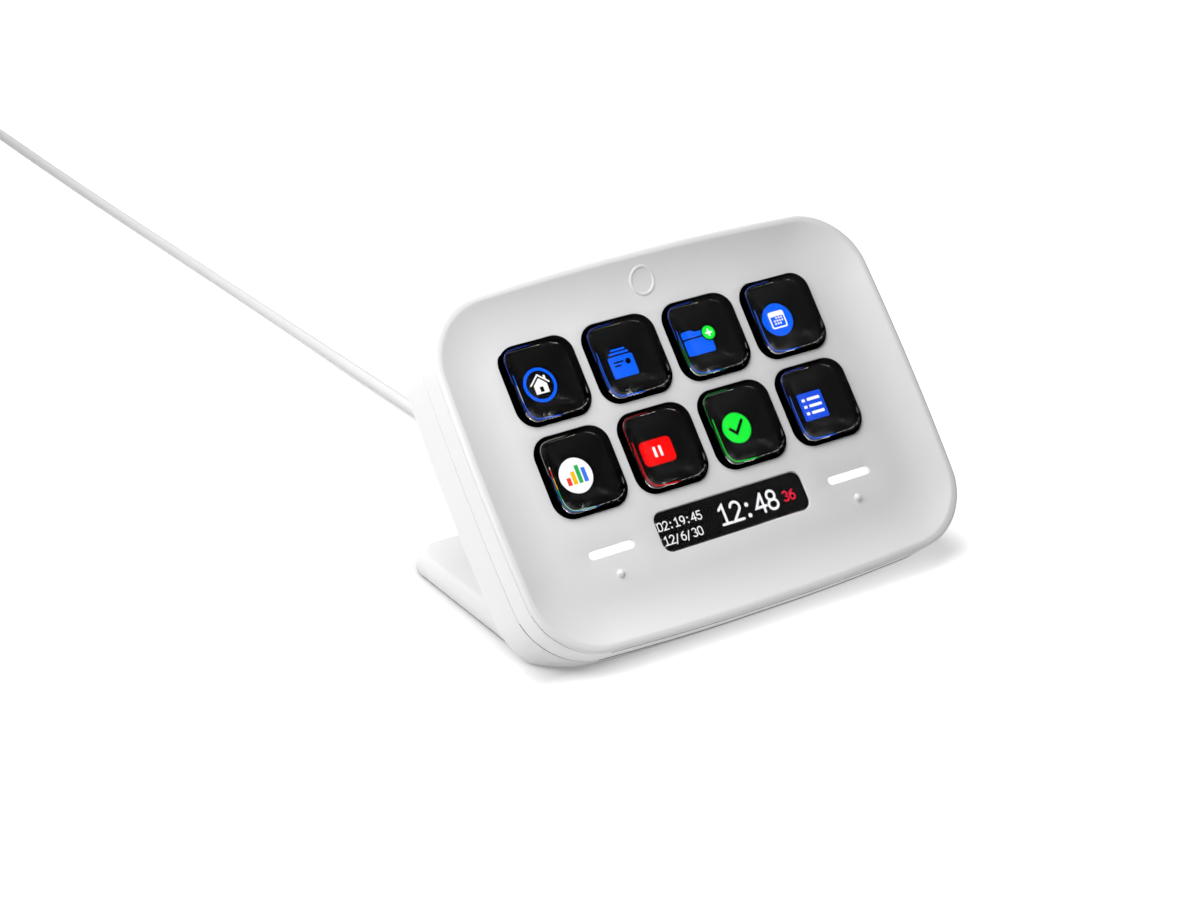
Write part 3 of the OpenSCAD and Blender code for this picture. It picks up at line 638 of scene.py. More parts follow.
rim_rows = stack(outline(inset, soft), height)
rim_rows[3:6, :, 2] += groove(rim_rows[3:6], 0.1)
rim = loft(rim_rows, False, False)
# Painted shade: the rim's seam lips along the bottom and the walls of the key windows take the
# black finish.
dark, at = [seam_shade_strips(rim_rows, [1], [2, 3, 4])], sum(len(s[1]) for s in (rim, top, bottom))
for rows, wall in zip(wall_rows[:len(key_spots)], walls):
    dark.append(strips(rows, [4], at))
    at += len(wall[1])
piece("case_front", join(rim, top, bottom, *walls, *dots, *bosses, raised_ring()),
      [white_abs, seam_shade_and_wall_black], ("front_cover",), second=np.concatenate(dark))

# %% [markdown]
# ### The side band
# The band is a closed frame. Its profile is carried once round the outline, with its
# outer edges rounded by about 0.1 mm.

# %% Side band
inset = np.array([1.0, 0.08, 0.03, 0.01, 0, 0, 0.01, 0.03, 0.08, 1.8, 1.8, 1.0])
height = np.array([2.06, 2.06, 2.03, 1.99, 1.94, -3.38, -3.43, -3.47, -3.5, -3.5, -1.6, -1.6])
rows = stack(outline(inset), height)
rows[2:5, :, 2] -= groove(rows[2:5], 0.2)
rows[5:8, :, 2] += groove(rows[5:8], 0.2)
# Painted shade: along the bottom the band's seam lips take the black finish.
piece("case_band", loft(rows, ring=True), [white_abs, seam_shade_and_wall_black],
      ("side_frame",), second=seam_shade_strips(rows, [0, 8], [1, 2, 3, 5, 6, 7]))

# %% [markdown]
# ### The rear shell
# The shell is a deep cup. It stands on the desk's side with a flat cut, which a plane
# makes once the cup is whole. Its inside is clamped above the cut, so the floor stays
# solid. At the back are four deep screw wells and the cable's hole.

# %% Rear shell
back_round, inner_low, well_r, gland_r = 0.7, 4.6, 2.0, 2.5
turn = np.linspace(0, np.pi / 2, 7)[1:]
inset = np.r_[1.8, 1.8, 0.08, 0.03, 0.01, 0, 0, back_round * (1 - np.cos(turn))]
height = np.r_[rear_inner, rear_top, rear_top, -3.78, -3.82, -3.86, back + back_round,
               back + back_round - back_round * np.sin(turn)]
rows = stack(outline(inset), height)
rows[3:6, :, 2] -= groove(rows[3:6], 0.2)
inner_floor = (inner_low - face_z - ct * rows[:2, :, 2]) / st
rows[:2, :, 1] = np.maximum(rows[:2, :, 1], inner_floor)
back_sheet = sheet([outline(back_round)] + [disc(well_r, x, y, 32) for x, y in screw_spots]
                   + [disc(gland_r, cable_x, cable_y, 32)], back)
wells = [lathe([well_r, 1.84, 1.8, 1.8, 1.1, 1.1],
               [back, back + 0.05, back + 0.2, screw_seat, screw_seat, -9.6],
               x, y, 32, (False, True)) for x, y in screw_spots]
gland = lathe([gland_r, gland_r], [back, back + 1.6], cable_x, cable_y, 32, (False, True))
# Painted shade: along the bottom the shell's seam lips take the black finish.
piece("case_rear", join(loft(rows, True, False), back_sheet, *wells, gland),
      [white_abs, seam_shade_and_wall_black], ("rear_shell",),
      cuts=[((0, 0, ground_gap / 1000), (0, 0, -1))], second=seam_shade_strips(rows, [1], [2, 3, 4]))

# %% [markdown]
# ### The foot
# The foot is a flat plate under and behind the case, with round rear corners and a wide
# soft top edge. It is drawn through the case's heel and cut by the plane of the case's
# back. A tongue reaches into a slot under the case.


# %% Foot
def foot_line(inset, arc=14):
    """Plan of the foot: square corners in front, quarter circles at the rear."""
    inset = columns(inset)[0]
    a = np.linspace(0, np.pi / 2, arc + 1)
    half, r = body_w / 2 - foot_in, foot_r - inset
    right = half - foot_r + r * np.cos(a)
    rear = heel_rear + foot_l - foot_r + r * np.sin(a)
    side_x, front = half - inset, heel_rear - foot_front + 0 * inset
    x = np.concatenate([side_x, right, -right[:, ::-1], -side_x], 1)
    y = np.concatenate([front, rear, rear[:, ::-1], front], 1)
    return np.stack([x, y], -1)


turn = np.linspace(0, np.pi / 2, 10)
inset = np.r_[0.35, 0.1, 0, 2.6 * (1 - np.cos(turn))]
height = np.r_[ground_gap, 0.76, 0.95, 2.0 + 2.3 * np.sin(turn)]
behind = lean([0, 0, back - seam])
piece("foot_plate", loft(stack(foot_line(inset), height)), white_abs, ("foot",),
      axes=on_desk, cuts=[(tuple(behind), (0, -st, ct))])
tongue = loft(stack(tile([83.2, 83.6, 83.6, 83.2], [11.5, 11.9, 11.9, 11.5], 0.5, 0,
                         heel_rear - 1.95, 3), [0.68, 0.85, 2.5, 2.7]))
piece("foot_tongue", tongue, white_abs, axes=on_desk)

# %% [markdown]
# A rubber sole lies under the foot, a little smaller than the plate. It is drawn out nearly to
# the plate's edge, so that its black stands in for the contact shadow as painted shade: a
# thin dark line shows where the foot meets the desk.

# %% Sole
# Moulded rubber has hardly any gloss. At the foot's edge the sole's black is painted shade in
# place of the contact shadow, a thin dark line on the desk.
black_rubber = grained("black rubber, moulded pad", ("#141414", "#1B1B1B"), (0.7, 0.85), 0.4,
                       0.01)
# Painted shade: the sole reaches nearly to the plate's edge, so that its black stands in for the
# contact shadow.
sole = loft(stack(foot_line([0.75, 0.6, 0.6, 0.65]), [0.0, 0.08, 0.66, ground_gap]))
piece("foot_sole", sole, black_rubber, ("foot_pad",), axes=on_desk,
      cuts=[((0, heel_rear / 1000, 0), (0, -1, 0))])

# %% [markdown]
# ## The keys
# Each key is a block of clear acrylic (PMMA). Its wide top stands above the face, a lip
# under the cover stops it from falling out, and its core reaches down to the display.
# Only the flat top and the underside are clear. The rest is lacquered black, up over most
# of the round shoulder, so each picture stands in a deep black frame. The block is
# modelled whole, because the picture's light goes in below and comes out on top.

# %% Clear keys
def clear(name, colour, mirrored):
    """Polished acrylic, IOR 1.49: its own colour, and what is left of its reflections."""
    return new_finish(name, {"Base Color": linear(colour), "Roughness": 0.0, "IOR": 1.49,
                             "Transmission Weight": 1.0, "Specular Tint": linear(mirrored)})[0]


# Polishing leaves no grain, so a key is seen by what it bends. A coating against glare
# keeps its flat top from mirroring the white room.
acrylic = clear("clear acrylic, polished and coated against glare", "#FFFFFF", "#202020")
# The lacquer is sprayed on the core, the lip, the sides and most of the shoulder. To the
# eye it is the deep black edge of each key.
key_black = grained("matt black lacquer on acrylic, sprayed", ("#000000", "#000000"), (0.6, 0.7),
                    0.3, 0.0005, values={"IOR": 1.49, "Specular IOR Level": 0.0})
key_top, bevel, cap_w, cap_r, lacquered = 1.2, 0.75, 17.05, 4.0, range(1, 15)
turn = np.linspace(0, np.pi / 2, 10)[1:]
size = np.r_[15.25, 15.65, 15.65, 18.5, 18.7, 18.7, 18.5, cap_w, cap_w,
             cap_w - 2 * bevel * (1 - np.cos(turn)), 15.5, 12.0, 6.0]
corner = np.r_[3.2, 3.4, 3.4, 4.7, 4.83, 4.83, 4.7, cap_r, cap_r,
               cap_r - bevel * (1 - np.cos(turn)), 3.22, 2.4, 1.2]
height = np.r_[-3.05, -2.85, -2.15, -2.15, -2.05, -1.7, -1.6, -1.6, key_top - bevel,
               key_top - bevel + bevel * np.sin(turn), key_top, key_top, key_top]
for number, (x, y) in enumerate(key_spots, 1):
    rows = stack(tile(size, size, corner, x, y, 8), height)
    piece(f"clear_key_{number}", loft(rows), [acrylic, key_black],
          (f"key_cap_{number}",), f"key_{number}", crease=50, second=strips(rows, lacquered))

# %% [markdown]
# ## The display and its pictures
# Under the keys lies one display, black where it isn't lit. The pictures are thin flat
# shapes just above it, which give light. They are generic signs: a house, a stack
# of cards, a folder, a calendar, bars of a chart, a pause sign, a tick and a list. Flat
# shapes with a plain emission were chosen over an image, so they stay sharp at any size.

# %% Dark finishes under the keys
# The glass is bonded to black film, so it adds no gloss. Where the display isn't lit, a
# trace of its own light leaks out, which makes its black a very dark grey.
display_glass = grained("display glass, bonded over black film", ("#000000", "#000000"),
                        (0.5, 0.6), 0.4, 0.0,
                        values={"IOR": 1.5, "Specular IOR Level": 0.0, "Emission Strength": 1.0,
                                "Emission Color": linear("#080808")})
# The rubber mat and the printed film lie in the dark under the keys. Both are matt, so
# nothing of them shines up through the acrylic.
mat_rubber = grained("black silicone rubber, moulded", ("#000000", "#000000"), (0.7, 0.8), 0.3,
                     0.004, values={"Specular IOR Level": 0.0})
circuit_film = grained("black polyester film, printed", ("#000000", "#000000"), (0.6, 0.7), 0.5,
                       0.001, values={"Specular IOR Level": 0.0})


def lit(name, code):
    """Lit pixels of the display, and the painted glints on the keys: a black surface that gives one
    colour of light evenly.
    """
    return new_finish(name, {"Base Color": linear("#000000"), "Roughness": 0.5,
                             "Specular IOR Level": 0.0, "Emission Color": linear(code),
                             "Emission Strength": 1.0})[0]


# Colours of lit pixels and of painted glints: the dim, pale and edge colours and spark serve only
# the painted glints and highlights.
lit_colours = {
    "edge blue": "#2A6CFF", "dim blue": "#2343AE", "dim red": "#A01A20", "dim green": "#148A34",
    "dim grey": "#8C8984", "spark": "#C9C9C9", "pale blue": "#B9C2EC", "pale green": "#9ADBB4",
    "blue": "#0A63FF", "white": "#FFFFFF", "green": "#17F53B", "red": "#FF0A0A",
    "deep": "#1A50E6", "black": "#050505", "amber": "#FFC414", "leaf": "#2DB552",
    "sky": "#3F7DF2", "brick": "#F2402E", "signal": "#FF2244"}
pixels = {name: lit(f"lit pixels and painted glints, {name}", code) for name, code in lit_colours.items()}
print(len(pixels), "colours of lit pixels")


# %% Shapes of the pictures
def stroke(points, width):
    """Line of even width, as a list of closed loops. Each side is offset along the mitre
    of two neighbours. An open line gets half a circle at each end and is one loop, and a
    line that ends where it starts is two loops, one inside the other."""
    p = np.asarray(points, float)
    closed = np.allclose(p[0], p[-1])
    d = np.diff(p, axis=0)
    d /= np.linalg.norm(d, axis=1)[:, None]
    n = np.stack([-d[:, 1], d[:, 0]], -1)
    a, b = np.vstack([n[-1:] if closed else n[:1], n]), np.vstack([n, n[:1] if closed else n[-1:]])
    mitre = (a + b) / np.maximum(1 + (a * b).sum(1), 0.3)[:, None] * width / 2
    if closed:
        return [(p + mitre)[:-1], (p - mitre)[:-1]]
    t = np.linspace(0, np.pi, 9)[1:-1, None]
    front_end = p[-1] + width / 2 * (np.cos(t) * n[-1] + np.sin(t) * d[-1])
    rear_end = p[0] - width / 2 * (np.cos(t) * n[0] + np.sin(t) * d[0])
    return [np.concatenate([p + mitre, front_end, (p - mitre)[::-1], rear_end])]


def box(w, h, r, x=0.0, y=0.0):
    """Rounded rectangle of a picture."""
    return tile(w, h, max(r, 0.5), x, y, 6)


# Sizes of the pictures are in this unit, in millimetres
picture_unit = 0.047
house = [[-31, -38], [32, -38], [32, 1], [1, 30], [-31, 1]]
folder_back = [[-82, 23], [-82, 48], [-75, 56], [-35, 56], [-28, 53], [-18, 45], [55, 45], [55, 23]]
dot_spots = [(x, 8) for x in (-5, 8, 21)] + [(x, -5) for x in (-18, -5, 8, 21)]
dot_spots += [(x, -18) for x in (-18, -5, 8)]
list_y = (31, 0, -31)
pictures = [
    [("blue", [disc(76), disc(62)]), ("white", [house, box(17, 22, 0, 1, -20)]),
     ("white", stroke([[-43, 5], [1, 44], [44, 5]], 7)), ("white", [box(10, 20, 0, 30, 27)])],
    [("blue", [box(121, 96, 8, 0, -16)]), ("blue", [box(96, 10, 4, 0, 44)]),
     ("blue", [box(72, 9, 4, 0, 59)]), ("black", stroke([[-37, 5], [5, 5]], 7)),
     ("black", stroke([[-37, -11], [-13, -11]], 7)), ("black", [disc(13, 29, 0)])],
    [("blue", [folder_back]), ("blue", [box(137, 73, 11, -13.5, -20.5)]),
     ("black", [disc(37, 49, 26)]), ("green", [disc(31, 49, 26)]),
     ("white", [box(34, 8, 2, 49, 26)]), ("white", [box(8, 34, 2, 49, 26)])],
    [("blue", [disc(75)]), ("white", [box(80, 78, 10), box(66, 48, 5, 0, -8)])]
    + [("white", [disc(4.7, x, y, 16)]) for x, y in dot_spots],
    [("white", [disc(77)]), ("brick", [box(19, 34, 3, -39, -19)]),
     ("amber", [box(19, 56, 3, -13, -8)]), ("leaf", [box(19, 78, 3, 13, 3)]),
     ("sky", [box(19, 62, 3, 39, -5)])],
    [("red", [box(154, 110, 22)])] + [("white", [box(13, 46, 3, x, 0)]) for x in (-14, 14)],
    [("green", [disc(68)]), ("black", stroke([[-33, 2], [-9, -23], [35, 27]], 14))],
    [("deep", [box(123, 123, 5)])] + [("white", [box(16, 13, 3, -38, y)]) for y in list_y]
    + [("white", [box(66, 13, 3, 13, y)]) for y in list_y],
]
print(len(pictures), "pictures with", sum(len(p) for p in pictures), "shapes")


# %% Light up the display
def lit_shapes(name, shapes, x, y, z, unit, stack_mm=0.012, body="housing"):
    """One piece of flat lit shapes: each later shape lies a hair above the one before it."""
    colours = list(dict.fromkeys(colour for colour, _ in shapes))
    sheets = [sheet([np.asarray(loop) * unit + (x, y) for loop in loops], z + stack_mm * k)
              for k, (_, loops) in enumerate(shapes)]
    number = np.concatenate([np.full(len(flat[1]), colours.index(colour))
                             for (colour, _), flat in zip(shapes, sheets)])
    new_object(name, join(*sheets), lean, number, [pixels[colour] for colour in colours], body)
    print(f"{name}: {len(number)} faces, {len(colours)} colours")


lcd_top = -3.95
for number, ((x, y), shapes) in enumerate(zip(key_spots, pictures), 1):
    lit_shapes(f"picture_{number}", shapes, x, y, lcd_top + 0.02, picture_unit)

# %% [markdown]
# ### Painted glints at the edges
# In the real keys the round shoulder gathers stray light of the picture into thin lines
# along the left and the lower edge. Plain transmission gives no such lines at this size, so
# each line is a painted glint: a lit thread, 0.06 to 0.15 mm wide, just under the key's top.
# Short grey dashes along the lower edge are painted highlights. Each moves with its key.

# %% Painted glints: threads of light
thread_deep = 0.12
upper_line, long_line, outer_line, corner_line = (through(np.array(line), 10) for line in (
    [[-1.0, 7.66], [-5.2, 7.6], [-6.9, 6.9], [-7.6, 5.2], [-7.66, 0.8]],
    [[-6.95, 2.4], [-6.98, -1.0], [-6.9, -4.2], [-6.5, -6.0], [-5.5, -7.1], [-3.8, -7.5],
     [-0.4, -7.66]],
    [[-7.3, 0.6], [-7.32, -3.6], [-7.0, -5.9], [-6.0, -7.2], [-4.2, -7.68], [0.6, -7.72]],
    [[0.6, -7.64], [3.0, -7.6], [4.9, -7.45], [6.5, -6.7], [7.35, -5.4], [7.6, -3.6]]))


def thread(colour, line, start, end, width):
    """Stroke along part of a line, from one share of its points to another."""
    first, last = int(start * len(line)), int(end * len(line))
    return colour, stroke(line[first:last + 1], width)


def threads(upper, long, outer):
    """One key's painted glints: the upper thread and the outer one in one colour each, the long
    one in parts of several colours, each up to its share, and short grey ones along the lower
    edge, which are painted highlights."""
    shapes = [thread(upper, upper_line, 0, 1, 0.1), thread(outer, outer_line, 0, 1, 0.08)]
    start = 0
    for colour, end in long:
        shapes.append(thread(colour, long_line, start, end, 0.15))
        start = end
    dashes = [(0, 0.1), (0.14, 0.2), (0.26, 0.38), (0.4, 0.44), (0.5, 0.6), (0.66, 0.72), (0.86, 1)]
    return shapes + [thread("spark", corner_line, a, b, 0.06) for a, b in dashes]


# Colours of each key's painted glints: the upper thread, the parts of the long one, and the outer
# one.
colours = [("dim blue", [("blue", 0.12), ("pale blue", 0.28), ("edge blue", 1)], "dim blue"),
           ("dim blue", [("blue", 0.5), ("edge blue", 1)], "edge blue"),
           ("dim blue", [("blue", 0.2), ("dim green", 0.4), ("blue", 1)], "dim green"),
           ("dim blue", [("edge blue", 1)], "dim blue"),
           ("dim grey", [("white", 0.045), ("brick", 0.13), ("amber", 0.23), ("leaf", 0.36),
                         ("pale green", 1)], "sky"),
           ("dim red", [("red", 1)], "dim red"), ("dim green", [("green", 1)], "dim green"),
           ("dim blue", [("edge blue", 1)], "deep")]
# Painted glints: lit threads just under each key's top, which move with the key.
for number, ((x, y), of_key) in enumerate(zip(key_spots, colours), 1):
    lit_shapes(f"key_painted_glint_{number}", threads(*of_key), x, y, key_top - thread_deep, 1.0,
               stack_mm=0.003, body=f"key_{number}")

# %% [markdown]
# ## The status strip
# The strip is a second, narrow display behind a smoked window. It shows plain numbers:
# a large time with red seconds, and two small rows. The figures are strokes of one width
# with round ends, as on many small displays.


# %% Figures
def arc(cx, cy, rx, ry, start, end, steps=14):
    """Part of an ellipse from one angle to another, in degrees."""
    a = np.radians(np.linspace(start, end, steps))
    return np.stack([cx + rx * np.cos(a), cy + ry * np.sin(a)], -1)


def joined(*parts):
    """Parts of a line, one after another."""
    return np.concatenate(parts)


# Figures are 1 high. Mid is the middle of their width and right is its end.
mid, right = 0.29, 0.58
figures = {
    "0": [joined(arc(mid, 0.7, mid, 0.3, 0, 180), arc(mid, 0.3, mid, 0.3, 180, 360),
                 [[right, 0.7]])],
    "1": [[[0.06, 0.8], [0.32, 1.0], [0.32, 0.0]], [[0.04, 0.0], [0.6, 0.0]]],
    "2": [joined(arc(mid, 0.71, mid, 0.29, 165, -35), [[0.0, 0.0], [0.6, 0.0]])],
    "3": [joined(arc(mid - 0.02, 0.74, 0.26, 0.26, 150, -80),
                 arc(mid - 0.02, 0.25, 0.29, 0.25, 85, -150))],
    "4": [[[0.45, 0.0], [0.45, 1.0]], [[0.45, 0.98], [-0.02, 0.3], [0.62, 0.3]]],
    "5": [joined([[0.54, 1.0], [0.07, 1.0], [0.04, 0.56]],
                 arc(mid - 0.02, 0.31, 0.3, 0.31, 128, -150))],
    "6": [joined([[0.46, 1.0]], arc(mid + 0.16, 0.42, 0.45, 0.5, 115, 190, 6)),
          arc(mid, 0.31, mid, 0.31, 180, -180, 20)],
    "8": [arc(mid, 0.75, 0.25, 0.25, 90, 450, 20), arc(mid, 0.26, 0.29, 0.26, 90, 450, 20)],
    "9": [arc(mid, 0.69, mid, 0.31, 0, 360, 20),
          joined([[right, 0.66]], arc(mid - 0.16, 0.58, 0.45, 0.58, 0, -65, 6))],
}


def figure_shapes(words, colour, left, base, tall, advance, width):
    """Flat shapes of a row of figures: strokes scaled to the height, one advance apart."""
    shapes, at = [], left
    for sign in words:
        if sign == ":":
            shapes += [(colour, [disc(width * 0.82, at + advance * 0.4, base + tall * k, 20)])
                       for k in (0.12, 0.64)]
        elif sign == "/":
            slash = np.array([[0.02, -0.1], [0.5, 1.08]]) * tall * 0.8 + (at, base)
            shapes.append((colour, stroke(slash, width)))
        else:
            shapes += [(colour, stroke(np.asarray(line) * (tall - width)
                                       + (at + width / 2, base + width / 2), width))
                       for line in figures[sign]]
        at += advance
    return shapes


shown = figure_shapes("12:48", "white", -2.9, -2.25, 4.43, 3.0, 0.57)
shown += figure_shapes("36", "signal", 13.15, -1.35, 2.35, 1.6, 0.34)
shown += figure_shapes("02:19:45", "white", -17.2, 0.45, 1.95, 1.36, 0.25)
shown += figure_shapes("12/6/30", "white", -16.9, -2.6, 1.95, 1.36, 0.25)
lens_low, play = -2.1, 0.1
lit_shapes("strip_figures", shown, 0, strip_y, lens_low + 0.006, 1.0, stack_mm=0.0003)

# %% Smoked window of the strip
# The polished window bends light at its edge only, so the figures stay sharp.
smoked = clear("smoked acrylic, polished", "#F4F4F6", "#303030")
turn = np.linspace(0, np.pi / 2, 6)
out = np.r_[1.6, 1.6, 0.0, 0.0, -0.1 - 0.2 * (1 - np.cos(turn))]
height = np.r_[lens_low + 0.05, -floor_t - 0.02, -floor_t - 0.02, -0.5, -0.3 + 0.2 * np.sin(turn)]
rows = stack(tile(strip_w + 2 * out - play, strip_h + 2 * out - play, 2.05 + out * 0.6, 0,
                  strip_y), height)
piece("strip_window", loft(rows), smoked, ("strip_lens",), crease=50)

# %% [markdown]
# ## The lit bars
# A lit bar is the end of a milky polycarbonate light guide. It sits just under the face
# and glows white, evenly, as the milky plastic scatters the light of the LEDs below.

# %% Lit bars
# The milky plastic gives even light of its own and hides the LEDs behind it.
milky = new_finish("milky polycarbonate, moulded",
                   {"Base Color": linear("#F6F6F6"), "Roughness": 0.35, "IOR": 1.58,
                    "Emission Color": linear("#FFFFFF"), "Emission Strength": 0.45})[0]
turn = np.linspace(0, np.pi / 2, 7)[1:]
bar_round = 0.35
grow = np.r_[1.0, 1.0, 0, 0, -bar_round * (1 - np.cos(turn))]
long_side, short_side = bar_l - 2 * play + 2 * grow, bar_w - 2 * play + 2 * grow
height = np.r_[-3.0, -floor_t - 0.01, -floor_t - 0.01, -0.45, -0.45 + bar_round * np.sin(turn)]
bars = [loft(stack(tile(long_side, short_side, short_side / 2 - 0.01, s * touch_x, bar_y - 0.02),
                   height)) for s in (-1, 1)]
piece("lit_bars", join(*bars), milky, ("light_guides",))

# %% [markdown]
# ## Screws at the back
# Four screws hold the case together. They sit deep in their wells, so only the heads show.
# The head is turned, and its socket is a hexagon: the radius is the flat's distance over
# the cosine of the angle from the middle of the flat.


# %% Screws
def screw(x, y, sides=48):
    """Shank, head and socket in one skin. Rows of the socket take the hexagon's radius."""
    hexagon = 1 / np.cos((angles(sides) + np.pi / 6) % (np.pi / 3) - np.pi / 6)
    round_rows = np.array([0.5, 0.8, 0.8, 1.7, 1.7, 1.62, 1.45])[:, None] * np.ones(sides)
    socket = np.array([0.86, 0.8, 0.8])[:, None] * hexagon
    height = np.array([7.0, 6.6, 0, 0, -1.0, -1.2, -1.3, -1.3, -1.24, -0.5]) + screw_seat
    return lathe(np.concatenate([round_rows, socket]), height, x, y, sides)


# Zinc plating is bright but cloudy, so a screw head glints without a clear reflection.
zinc = grained("zinc-plated steel, turned", ("#A9ABAD", "#C2C4C6"), (0.25, 0.4), 0.15, 0.002,
               cloud_mm=1.0, values={"Metallic": 1.0})
piece("case_screw_set", join(*[screw(x, y) for x, y in screw_spots]), zinc,
      ("case_screws",))

# %% [markdown]
# ## Finishes of the pieces inside and under the case
# The other pieces keep their CAD shapes. They sit inside or under the case, and
# each gets the finish of its real material, with its own grain.

# %% Dress the CAD pieces
# Stamped sheets: the aluminium keeps the roll's soft sheen, the oiled steel is darker.
aluminium = grained("aluminium sheet, stamped", ("#B4B6B8", "#C6C8CA"), (0.3, 0.42), 0.3, 0.001,
                    values={"Metallic": 1.0})
mild_steel = grained("mild steel plate, sheared and oiled", ("#77797B", "#8C8E90"),
                     (0.35, 0.55), 0.5, 0.003, cloud_mm=5.0, values={"Metallic": 1.0})
# Black ABS from a textured tool is a dark, soft grey in the light.
dark_abs = grained("black ABS, moulded inner frame", ("#17181A", "#1D1E20"), (0.45, 0.6), 0.4,
                   0.004)
# The green lacquer flows over the board, so it is glossy with a faint weave under it.
board = grained("glass-fibre board under green lacquer", ("#0B3B24", "#10492E"), (0.25, 0.4),
                0.6, 0.004, cloud_mm=3.0)
# Chips are dull, as the mould for their epoxy is sand-blasted. Nylon is waxy and warm.
epoxy = grained("black epoxy chip, transfer-moulded", ("#101112", "#191A1B"), (0.5, 0.65), 0.1,
                0.003, cloud_mm=1.5)
nylon = grained("ivory nylon connector, moulded", ("#DCD6C4", "#E6E0D0"), (0.35, 0.5), 0.3, 0.003)
# Laminated polyimide is smooth and amber, and cast resin is clear yellow and glossy.
ribbon = grained("polyimide ribbon, laminated", ("#A8601C", "#BC7328"), (0.2, 0.3), 0.4, 0.001,
                 cloud_mm=2.0)
led_resin = grained("yellow LED resin, cast", ("#E9E0A0", "#F1EAB8"), (0.2, 0.3), 0.3, 0.001)
dressed = {
    "front_pad": black_rubber, "touch_pads": black_rubber, "foot_weight": mild_steel,
    "lcd_tray": aluminium, "chassis": dark_abs, "lcd_panel": display_glass,
    "strip_display": display_glass, "key_mat": mat_rubber, "key_circuit": circuit_film,
    "touch_board": board, "main_board": board, "processor": epoxy, "memory_chips": epoxy,
    "power_parts": epoxy, "display_ribbon": ribbon, "ribbon_connector": nylon,
    "cable_header": nylon, "touch_leds": led_resin, "board_screws": zinc, "foot_screws": zinc,
}
for name, finish in dressed.items():
    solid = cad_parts[name]
    solid.data.materials.clear()
    solid.data.materials.append(finish)
print(len(dressed), "CAD pieces dressed")

# %% [markdown]
# ## Floor, backdrop and light
# The object stands on a pale floor that runs out of the view, so floor and background are
# one white. Part of the floor's white is given to camera, glossy and transmission rays
# only, which leaves the object's light as it is. This part is smaller near the case and
# along the start of the cable, so that the soft shadow there stays visible.
#
# To all other rays the floor gives a little light too, and more of it in front and at
# the left. It works as white card laid there, and brightens the case's underside.

# %% Floor
def seen_rays(tree):
    """1 for a camera, glossy or transmission ray, and 0 for any other."""
    rays = add(tree, "LightPath").outputs
    seen = add(tree, "Math", (rays["Is Camera Ray"], rays["Is Glossy Ray"]), operation="MAXIMUM")
    return add(tree, "Math", (seen, rays["Is Transmission Ray"]), operation="MAXIMUM")


def past_box(tree, spot, middle, half):
    """How far a spot lies past a box's sides, in each axis: |spot - middle| - half."""
    away = add(tree, "VectorMath", (spot, middle), operation="SUBTRACT")
    away = add(tree, "VectorMath", (away,), operation="ABSOLUTE")
    return add(tree, "VectorMath", (away, half), operation="SUBTRACT")


floor_mesh = bpy.data.meshes.new("floor")
floor_mesh.from_pydata([(-4, -4, 0), (4, -4, 0), (4, 4, 0), (-4, 4, 0)], [], [(0, 1, 2, 3)])
floor = bpy.data.objects.new("floor", floor_mesh)
scene.collection.objects.link(floor)
paint = bpy.data.materials.new("pale matt floor paint")
tree = empty_tree(paint)
spot = add(tree, "TexCoord").outputs["Object"]
x, y, _ = add(tree, "SeparateXYZ", (spot,)).outputs
# How far from the case: 0 at it, and 1 from 16 mm on
case_middle, case_half, case_fade = (0.0025, 0.0045, 0), (0.0495, 0.0265, 0), 0.016
beside = past_box(tree, spot, case_middle, case_half)
beside = add(tree, "VectorMath", (beside, (0, 0, 0)), operation="MAXIMUM")
beside = add(tree, "VectorMath", (beside,), operation="LENGTH").outputs["Value"]
away = add(tree, "MapRange", (beside, 0.0, case_fade), interpolation_type="SMOOTHSTEP")
# The same for the start of the cable, which fades over other distances in X and in Y
cord_middle, cord_half, cord_fade = (-0.0095, 0.085, 0), (0.008, 0.02, 0), (0.018, 0.09, 1)
cord_way = past_box(tree, spot, cord_middle, cord_half)
cord_way = add(tree, "VectorMath", (cord_way, cord_fade), operation="DIVIDE")
cord_way = add(tree, "SeparateXYZ", (cord_way,)).outputs
cord_way = add(tree, "Math", (cord_way["X"], cord_way["Y"]), operation="MAXIMUM")
cord_way = add(tree, "MapRange", (cord_way,), interpolation_type="SMOOTHSTEP")
away = add(tree, "Math", (away, cord_way), operation="MINIMUM")
# The white seen close to the case, which changes from left to right, and in front of it
at_sides = add(tree, "MapRange", (x, -0.06, 0.06, 0.15, 0.55))
in_front = add(tree, "MapRange", (x, 0.01, 0.05, 0.54, 0.36))
near = add(tree, "MapRange", (y, -0.024, -0.031, at_sides, in_front))
white = add(tree, "MapRange", (away, 0.0, 1.0, near, 1.0))
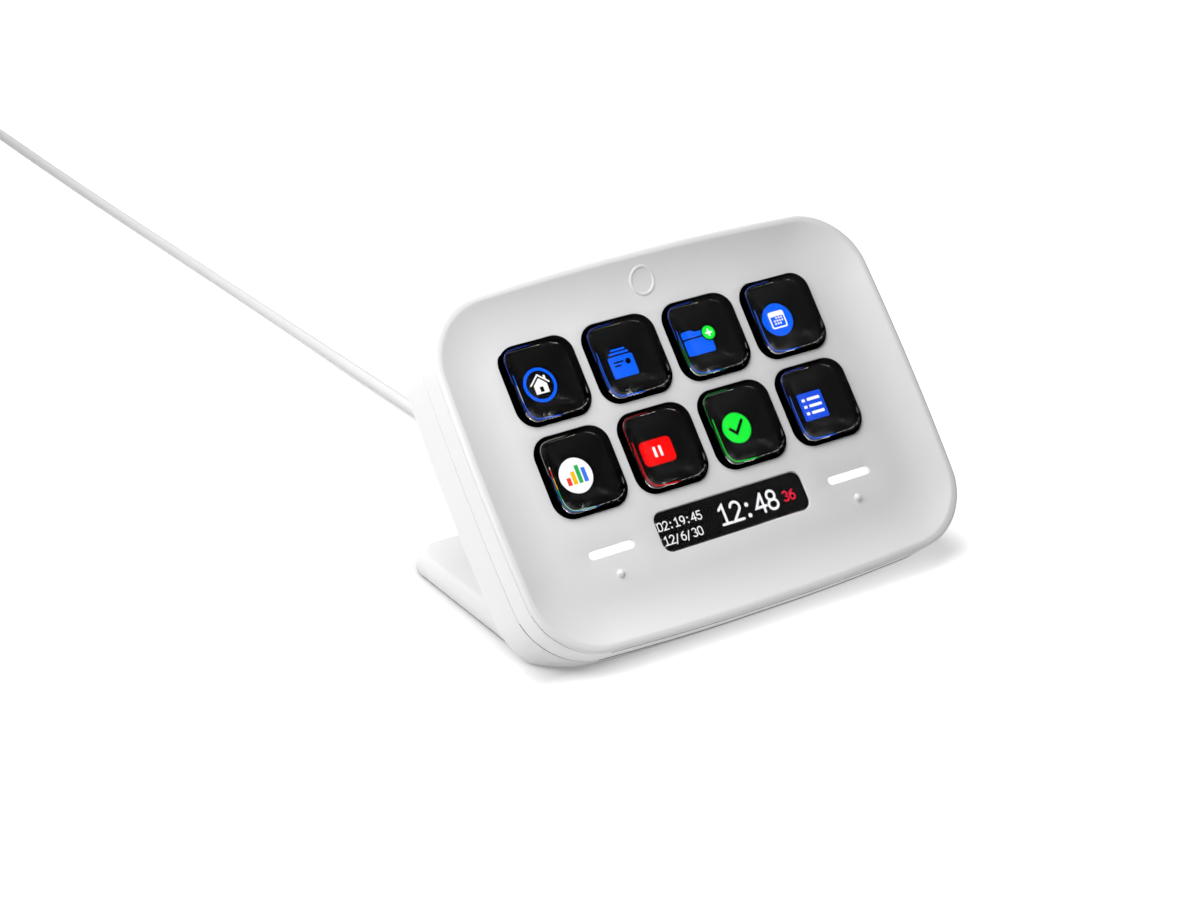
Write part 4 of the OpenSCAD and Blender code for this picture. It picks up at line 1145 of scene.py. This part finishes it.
# The light for all other rays: more in front and at the left
front_card = add(tree, "MapRange", (y, -0.02, -0.035, 0.1, 0.26))
left_card = add(tree, "MapRange", (x, -0.048, -0.056, 0.1, 0.22))
card = add(tree, "Math", (front_card, left_card), operation="MAXIMUM")
glow = add(tree, "MapRange", (seen_rays(tree), 0.0, 1.0, card, white))
matt = add(tree, "BsdfDiffuse", (linear("#D6D6D6"),))
light = add(tree, "Emission", ((1, 1, 1, 1), glow))
add(tree, "OutputMaterial", (add(tree, "AddShader", (matt, light)),))
floor_mesh.materials.append(paint)

# %% World
ambient = 0.02
world = bpy.data.worlds.new("studio")
scene.world = world
tree = empty_tree(world)
dim = add(tree, "Background", ((1, 1, 1, 1), ambient))
bright = add(tree, "Background", ((1, 1, 1, 1), 1.0))
add(tree, "OutputWorld", (add(tree, "MixShader", (seen_rays(tree), dim, bright)),))


# %% [markdown]
# Five soft lamps light the object at a plain level. A small one near the left front makes
# the left of the dish brighter than its right, as a window close to the desk does. The
# others are broader: from the left, from above, from behind, and a weak one from the left
# rear. Small far lamps were not used, as their shadows are hard.


# %% Lamps
lit_spot = Vector((0, 0, 0.035))


def softbox(name, direction, distance, width, level):
    """Round soft lamp that looks at the object from a direction. Its power is pi squared
    times distance squared times level, so a level of 1 lights a white surface that faces
    it, where the object is, to full white."""
    data = bpy.data.lights.new(name, "AREA")
    data.shape, data.size = "DISK", width
    data.energy = (math.pi * distance) ** 2 * level
    made = bpy.data.objects.new(name, data)
    made.location = lit_spot + distance * Vector(direction).normalized()
    made.rotation_euler = (-Vector(direction)).to_track_quat("-Z", "Y").to_euler()
    scene.collection.objects.link(made)
    print(name, "level", level)


softbox("near_light", (-0.5, -0.4, 0.75), 0.18, 0.1, 0.33)
softbox("left_light", (-0.75, 0.1, 0.65), 0.30, 0.2, 0.45)
softbox("top_light", (0.0, 0.0, 1.0), 0.4, 0.25, 0.52)
softbox("back_light", (0.0, 0.75, 0.65), 0.4, 0.25, 0.38)
softbox("side_light", (-0.85, 0.45, 0.3), 0.32, 0.2, 0.12)
scene.view_settings.view_transform = "Standard"
